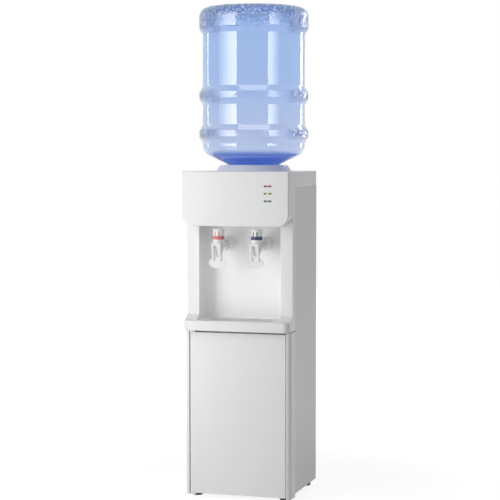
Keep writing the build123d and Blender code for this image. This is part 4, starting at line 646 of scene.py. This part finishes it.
def make_floor():
    """A pale floor that the camera sees white, with the object's faint shadow on it."""
    mesh = bpy.data.meshes.new("floor")
    corners = [(-1, -1), (1, -1), (1, 1), (-1, 1)]
    mesh.from_pydata([(x * FLOOR_HALF, y * FLOOR_HALF, 0) for x, y in corners], [], [(0, 1, 2, 3)])
    floor = make_object("floor", mesh)
    finish = Finish("pale_floor", {"Roughness": 0.9, "Base Color": (0.8, 0.8, 0.8, 1.0)})
    reach = finish.add(
        "ShaderNodeVectorMath", {"operation": "LENGTH"}, {0: finish.place()}, output="Value"
    )
    glow = FLOOR_GLOW + (1 - FLOOR_GLOW) * finish.ramp(reach, *SHADOW_REACH)
    white = finish.add("ShaderNodeEmission", sockets={"Strength": FLOOR_STRENGTH})
    mesh.materials.append(finish.overlay(glow * finish.shown(), white))


def make_world():
    """Soft light all round, and plain white where the camera, gloss and clear plastic see it."""
    world = bpy.data.worlds.new("studio")
    bpy.context.scene.world = world
    world.use_nodes = True
    sky = Graph(world.node_tree)
    background = world.node_tree.nodes["Background"]
    sky.feed(background.inputs["Color"], (1.0, 1.0, 1.0, 1.0))
    sky.feed(background.inputs["Strength"], AMBIENT + (1 - AMBIENT) * sky.shown())


def make_softbox(name, azimuth, distance, height, width, tall, power, aim_height, fade):
    """An area light that faces the cooler; fade dims it towards one of its side edges."""
    light = bpy.data.lights.new(name, "AREA")
    light.shape = "RECTANGLE"
    light.size = width
    light.size_y = tall
    light.energy = power
    lamp = bpy.data.objects.new(name, light)
    bpy.context.collection.objects.link(lamp)
    turn = math.radians(azimuth)
    lamp.location = (distance * math.sin(turn), -distance * math.cos(turn), height)
    aim = Vector((0, 0, aim_height)) - lamp.location
    lamp.rotation_euler = aim.to_track_quat("-Z", "Y").to_euler()
    lamp.visible_camera = False
    lamp.visible_transmission = False
    light.use_nodes = True
    glow = Graph(light.node_tree)
    spot = glow.add("ShaderNodeNewGeometry", output="Parametric")
    across = glow.add("ShaderNodeSeparateXYZ", sockets={0: spot}, output="X")
    emission = light.node_tree.nodes["Emission"]
    lit = glow.ramp(across, *fade) * (1 - FADED_SHARE) + FADED_SHARE
    glow.feed(emission.inputs["Strength"], lit)
    return lamp


def make_softboxes():
    """A key and a soft fill, a lamp in the alcove's mouth, and strips that glint on the bottle."""
    lamps = {name: make_softbox(name, *place) for name, place in SOFTBOXES.items()}
    for name in ("front_fill", "alcove_fill"):
        lamps[name].visible_glossy = False
    alcove = bpy.data.collections.new(ALCOVE_GROUP)
    lamps["alcove_fill"].light_linking.receiver_collection = alcove
    bottle = bpy.data.collections.new(GLINT_GROUP)
    for name, place in GLINTS.items():
        lamp = make_softbox(name, *place)
        lamp.visible_diffuse = False
        lamp.light_linking.receiver_collection = bottle


def make_camera():
    """The photograph's view: upright, from the front right."""
    lens_data = bpy.data.cameras.new("camera")
    lens_data.lens = CAMERA_LENS
    lens_data.sensor_width = SENSOR_WIDTH
    camera = bpy.data.objects.new("camera", lens_data)
    bpy.context.collection.objects.link(camera)
    camera.location = CAMERA_PLACE
    camera.rotation_euler = (math.radians(90 + CAMERA_PITCH), 0, math.radians(CAMERA_TURN))
    bpy.context.scene.camera = camera


class BodyOperator(bpy.types.Operator):
    """Moulded front, door and covers with rounded edges, and the painted panels"""

    bl_idname = "cooler.body"
    bl_label = "Body"

    def execute(self, context):
        sizes = context.scene.cooler_sizes
        colours = context.scene.cooler_colours
        body = plastic("body_white", tuple(colours.body), coat=0.15)
        shells = {node: rounded(node, sizes.edge_round, body) for node in MOULDED_NODES}
        bpy.data.collections[ALCOVE_GROUP].objects.link(shells["front_moulding"])
        liner = plastic("liner_white", (0.78, 0.785, 0.79), roughness=0.45)
        rounded("door_liner", sizes.edge_round, liner)
        panel = painted_steel("panel_white", tuple(colours.panel))
        paint(panel, "side_panel_left", "side_panel_right")
        grey = painted_steel("rear_grey", (0.6, 0.61, 0.62), roughness=0.45)
        paint(grey, "rear_panel")
        base = plastic("base_grey", (0.1, 0.1, 0.105), roughness=0.55)
        rounded("base_tray", sizes.fine_round, base)
        rounded("feet", sizes.edge_round, rubber("foot_black", (0.012, 0.012, 0.012)))
        steel = brushed_metal("pin_steel", (0.62, 0.62, 0.63))
        rounded("door_hinge_pins", sizes.fine_round, steel)
        rounded("catch_plate", 0.1 * MM, steel)
        rounded("catch_magnet", sizes.fine_round, rubber("magnet_brown", (0.06, 0.03, 0.02)))
        return {"FINISHED"}


class BottleOperator(bpy.types.Operator):
    """The bottle with its bands and pebbled grips, its cap, seat and probe"""

    bl_idname = "cooler.bottle"
    bl_label = "Bottle"

    def execute(self, context):
        sizes = context.scene.cooler_sizes
        colours = context.scene.cooler_colours
        low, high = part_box("bottle")
        axis = ((low.x + high.x) / 2, (low.y + high.y) / 2)
        tints = [tuple(tint) for tint in (colours.bottle, colours.bottle_pale, colours.bottle_painted_shade)]
        clear = bottle_plastic("bottle_blue", tints, axis, high.x - axis[0], sizes.pebble_size)
        corners = bottle_corners(low, high, sizes)
        outer = filled_in(rounded_outline(corners, OUTER_ARC_STEP), OUTER_STEP)
        inner = filled_in(rounded_outline(corners, INNER_ARC_STEP), INNER_STEP)
        inner = moved_inwards(inner, sizes.bottle_wall)
        inner[0].x = 0.0
        inner[-1].y = low.z
        loop = [tuple(point) for point in inner] + [tuple(point) for point in reversed(outer)]
        pebbles = pebble_shift(axis, high, sizes)
        bottle = spun("bottle_shell", loop, axis, sizes.bottle_sides, pebbles)
        dress(bottle, clear, "bottle")
        bpy.data.collections[GLINT_GROUP].objects.link(bottle)
        cap = plastic("cap_white", (0.8, 0.81, 0.83), roughness=0.4)
        rounded("bottle_cap", sizes.fine_round, cap)
        seat = plastic("seat_white", (0.8, 0.8, 0.8), roughness=0.42)
        rounded("bottle_seat", sizes.fine_round, seat)
        rounded("feed_probe", sizes.fine_round, seat)
        return {"FINISHED"}


def bottle_corners(low, high, sizes):
    """The bottle's outline from the middle of its punt to its mouth."""
    band_r = (high.x - low.x) / 2
    barrel_r = band_r - sizes.band_rise
    punt_z = high.z - PUNT_DEPTH
    shoulder_z = SHOULDER_Z + (barrel_r - SHOULDER_R) * SHOULDER_SLOPE
    neck_z = shoulder_z - (barrel_r - NECK_R) * SHOULDER_SLOPE
    corners = [
        (0.0, punt_z, 0),
        (PUNT_R, punt_z, PUNT_CORNER),
        (PUNT_RIM_R, high.z, PUNT_CORNER),
        (band_r, high.z, high.z - BAND_TOP),
        (band_r, TOP_BAND_FOOT, BAND_CORNER),
        (barrel_r, TOP_BAND_FOOT - BAND_RAMP, BARREL_CORNER),
    ]
    for middle in BAND_MIDDLES:
        corners += [
            (barrel_r, middle + BAND_HALF + BAND_RAMP, BARREL_CORNER),
            (band_r, middle + BAND_HALF, BAND_CORNER),
            (band_r, middle - BAND_HALF, BAND_CORNER),
            (barrel_r, middle - BAND_HALF - BAND_RAMP, BARREL_CORNER),
        ]
    corners += [
        (barrel_r, shoulder_z, SHOULDER_CORNER),
        (NECK_R, neck_z, NECK_CORNER),
        (NECK_R, low.z, 0),
    ]
    return corners


def pebble_shift(axis, high, sizes):
    """Hammered pebbles on the bands' sides and round the top rim, as a shift of the wall."""
    band_r = high.x - axis[0]
    barrel_r = band_r - sizes.band_rise
    spans = [(TOP_BAND_FOOT, high.z)]
    spans += [(middle - BAND_HALF, middle + BAND_HALF) for middle in BAND_MIDDLES]

    def shift(r, z, turn):
        if r < barrel_r + 0.5 * sizes.band_rise and z < BAND_TOP:
            return r, z
        if not any(foot < z < head for foot, head in spans) or r < PUNT_RIM_R:
            return r, z
        side = abs(math.sin(turn - GRIP_TURN))
        grip = min(1.0, max(GRIP_LEAST_DEPTH, (side - GRIP_FROM) / GRIP_FADE))
        rim = min(1.0, max(0.0, (z - BAND_TOP) / RIM_RISE))
        point = Vector((r * math.sin(turn), r * math.cos(turn), z)) / sizes.pebble_size
        distances = noise.voronoi(point)[0]
        groove = max(0.0, 1 - (distances[1] - distances[0]) / GROOVE_WIDTH)
        sink = sizes.pebble_depth * max(grip, rim) * groove
        return r - sink, z - (sink if rim > 0 else 0.0)

    return shift


class TapsOperator(bpy.types.Operator):
    """Both taps with their rings, bonnets, levers, stems, pins and nuts"""

    bl_idname = "cooler.taps"
    bl_label = "Taps"

    def execute(self, context):
        sizes = context.scene.cooler_sizes
        colours = context.scene.cooler_colours
        tap_round = sizes.fine_round * 1.5
        tap = plastic("tap_white", tuple(colours.tap), roughness=0.2, coat=0.4)
        for side, ring_colour in (("hot", colours.hot), ("cold", colours.cold)):
            ring = plastic(f"{side}_ring", tuple(ring_colour), roughness=0.22, coat=0.4)
            rounded(f"{side}_tap_body", tap_round, tap, segments=3)
            rounded(f"{side}_tap_lever", sizes.edge_round, tap, segments=3)
            rounded(f"{side}_tap_ring", sizes.fine_round, ring)
            rounded(f"{side}_valve_stem", sizes.fine_round, soft_tube(f"{side}_silicone"))
        rounded("tap_bonnets", tap_round, tap, segments=3)
        rounded("tap_nuts", sizes.fine_round, plastic("nut_white", (0.74, 0.74, 0.72)))
        rounded("lever_pins", sizes.fine_round, brushed_metal("lever_steel", (0.6, 0.6, 0.61)))
        return {"FINISHED"}


class IndicatorsOperator(bpy.types.Operator):
    """Three indicator lenses and the board behind them"""

    bl_idname = "cooler.indicators"
    bl_label = "Indicators"

    def execute(self, context):
        sizes = context.scene.cooler_sizes
        # Each colour is the painted glow in its window's middle.
        for colour_name, glow in (
            ("red", (0.62, 0.2, 0.22)),
            ("yellow", (0.8, 0.72, 0.16)),
            ("green", (0.16, 0.42, 0.14)),
        ):
            node = f"indicator_lens_{colour_name}"
            low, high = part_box(node)
            window = lens(f"lens_{colour_name}", glow, (low.x + high.x) / 2, (high.x - low.x) / 2)
            rounded(node, sizes.fine_round, window)
        paint(circuit_board("indicator_board"), "led_board")
        return {"FINISHED"}


class TrayOperator(bpy.types.Operator):
    """Drip tray and its grille"""

    bl_idname = "cooler.tray"
    bl_label = "Drip tray"

    def execute(self, context):
        sizes = context.scene.cooler_sizes
        pan = plastic("tray_white", (0.74, 0.75, 0.76), roughness=0.4)
        rounded("drip_tray", sizes.fine_round, pan)
        rounded("drip_grille", sizes.fine_round, pan)
        return {"FINISHED"}


class RearOperator(bpy.types.Operator):
    """Fan, guard, switches, screws, cord inlet and drain at the back"""

    bl_idname = "cooler.rear"
    bl_label = "Rear fittings"

    def execute(self, context):
        sizes = context.scene.cooler_sizes
        black = plastic("fan_black", (0.02, 0.02, 0.021), roughness=0.45)
        for node in ("fan_frame", "fan_rotor", "fan_guard", "cord_inlet", "switch_housings"):
            rounded(node, sizes.fine_round, black)
        for side, colour in (("hot", (0.55, 0.03, 0.03)), ("cold", (0.03, 0.32, 0.08))):
            rocker = plastic(f"{side}_rocker", colour, roughness=0.25, coat=0.3)
            rounded(f"{side}_switch_rocker", sizes.fine_round, rocker)
        screw = brushed_metal("screw_steel", (0.6, 0.6, 0.61))
        rounded("rear_screws", sizes.fine_round, screw)
        white = plastic("drain_white", (0.74, 0.74, 0.73), roughness=0.4)
        rounded("drain_spout", sizes.fine_round, white)
        rounded("drain_cap", sizes.fine_round, white)
        return {"FINISHED"}


class InsideOperator(bpy.types.Operator):
    """Tanks, cooler, hoses and boards inside the body"""

    bl_idname = "cooler.inside"
    bl_label = "Inside"

    def execute(self, context):
        steel = brushed_metal("tank_steel", (0.64, 0.64, 0.65), stretch=(1.0, 1.0, 0.04))
        paint(steel, "cold_tank", "hot_tank", "heater_band", "thermostats")
        paint(expanded_foam("tank_foam"), "cold_tank_insulation", "hot_tank_jacket")
        aluminium = brushed_metal("aluminium", (0.78, 0.79, 0.8), roughness=0.35)
        paint(aluminium, "cold_block", "heat_sink")
        paint(plastic("module_white", (0.85, 0.85, 0.83), roughness=0.5), "cooling_module")
        paint(soft_tube("hose_clear"), "cold_hose", "hot_hose", "feed_hose", "drain_hose")
        paint(galvanised_steel("galvanised"), "machine_deck")
        paint(circuit_board("control_green"), "control_board")
        return {"FINISHED"}


class CoolerPanel(bpy.types.Panel):
    """Sizes, colours and operators in the 3D view's sidebar"""

    bl_idname = "COOLER_PT_looks"
    bl_label = "Water cooler"
    bl_space_type = "VIEW_3D"
    bl_region_type = "UI"
    bl_category = "Cooler"

    def draw(self, context):
        for group in (context.scene.cooler_sizes, context.scene.cooler_colours):
            box = self.layout.box()
            for name in group.__annotations__:
                box.prop(group, name)
        for operator in OPERATORS:
            self.layout.operator(operator.bl_idname)


OPERATORS = (
    StageOperator,
    BodyOperator,
    BottleOperator,
    TapsOperator,
    IndicatorsOperator,
    TrayOperator,
    RearOperator,
    InsideOperator,
)
CLASSES = (CoolerSizes, CoolerColours, *OPERATORS, CoolerPanel)


def register():
    for part in CLASSES:
        bpy.utils.register_class(part)
    bpy.types.Scene.cooler_sizes = PointerProperty(type=CoolerSizes)
    bpy.types.Scene.cooler_colours = PointerProperty(type=CoolerColours)


def unregister():
    del bpy.types.Scene.cooler_colours
    del bpy.types.Scene.cooler_sizes
    for part in reversed(CLASSES):
        bpy.utils.unregister_class(part)


def main():
    """Builds every piece and the stage."""
    register()
    for operator in OPERATORS:
        group, name = operator.bl_idname.split(".")
        getattr(getattr(bpy.ops, group), name)()


if __name__ == "__main__":
    main()
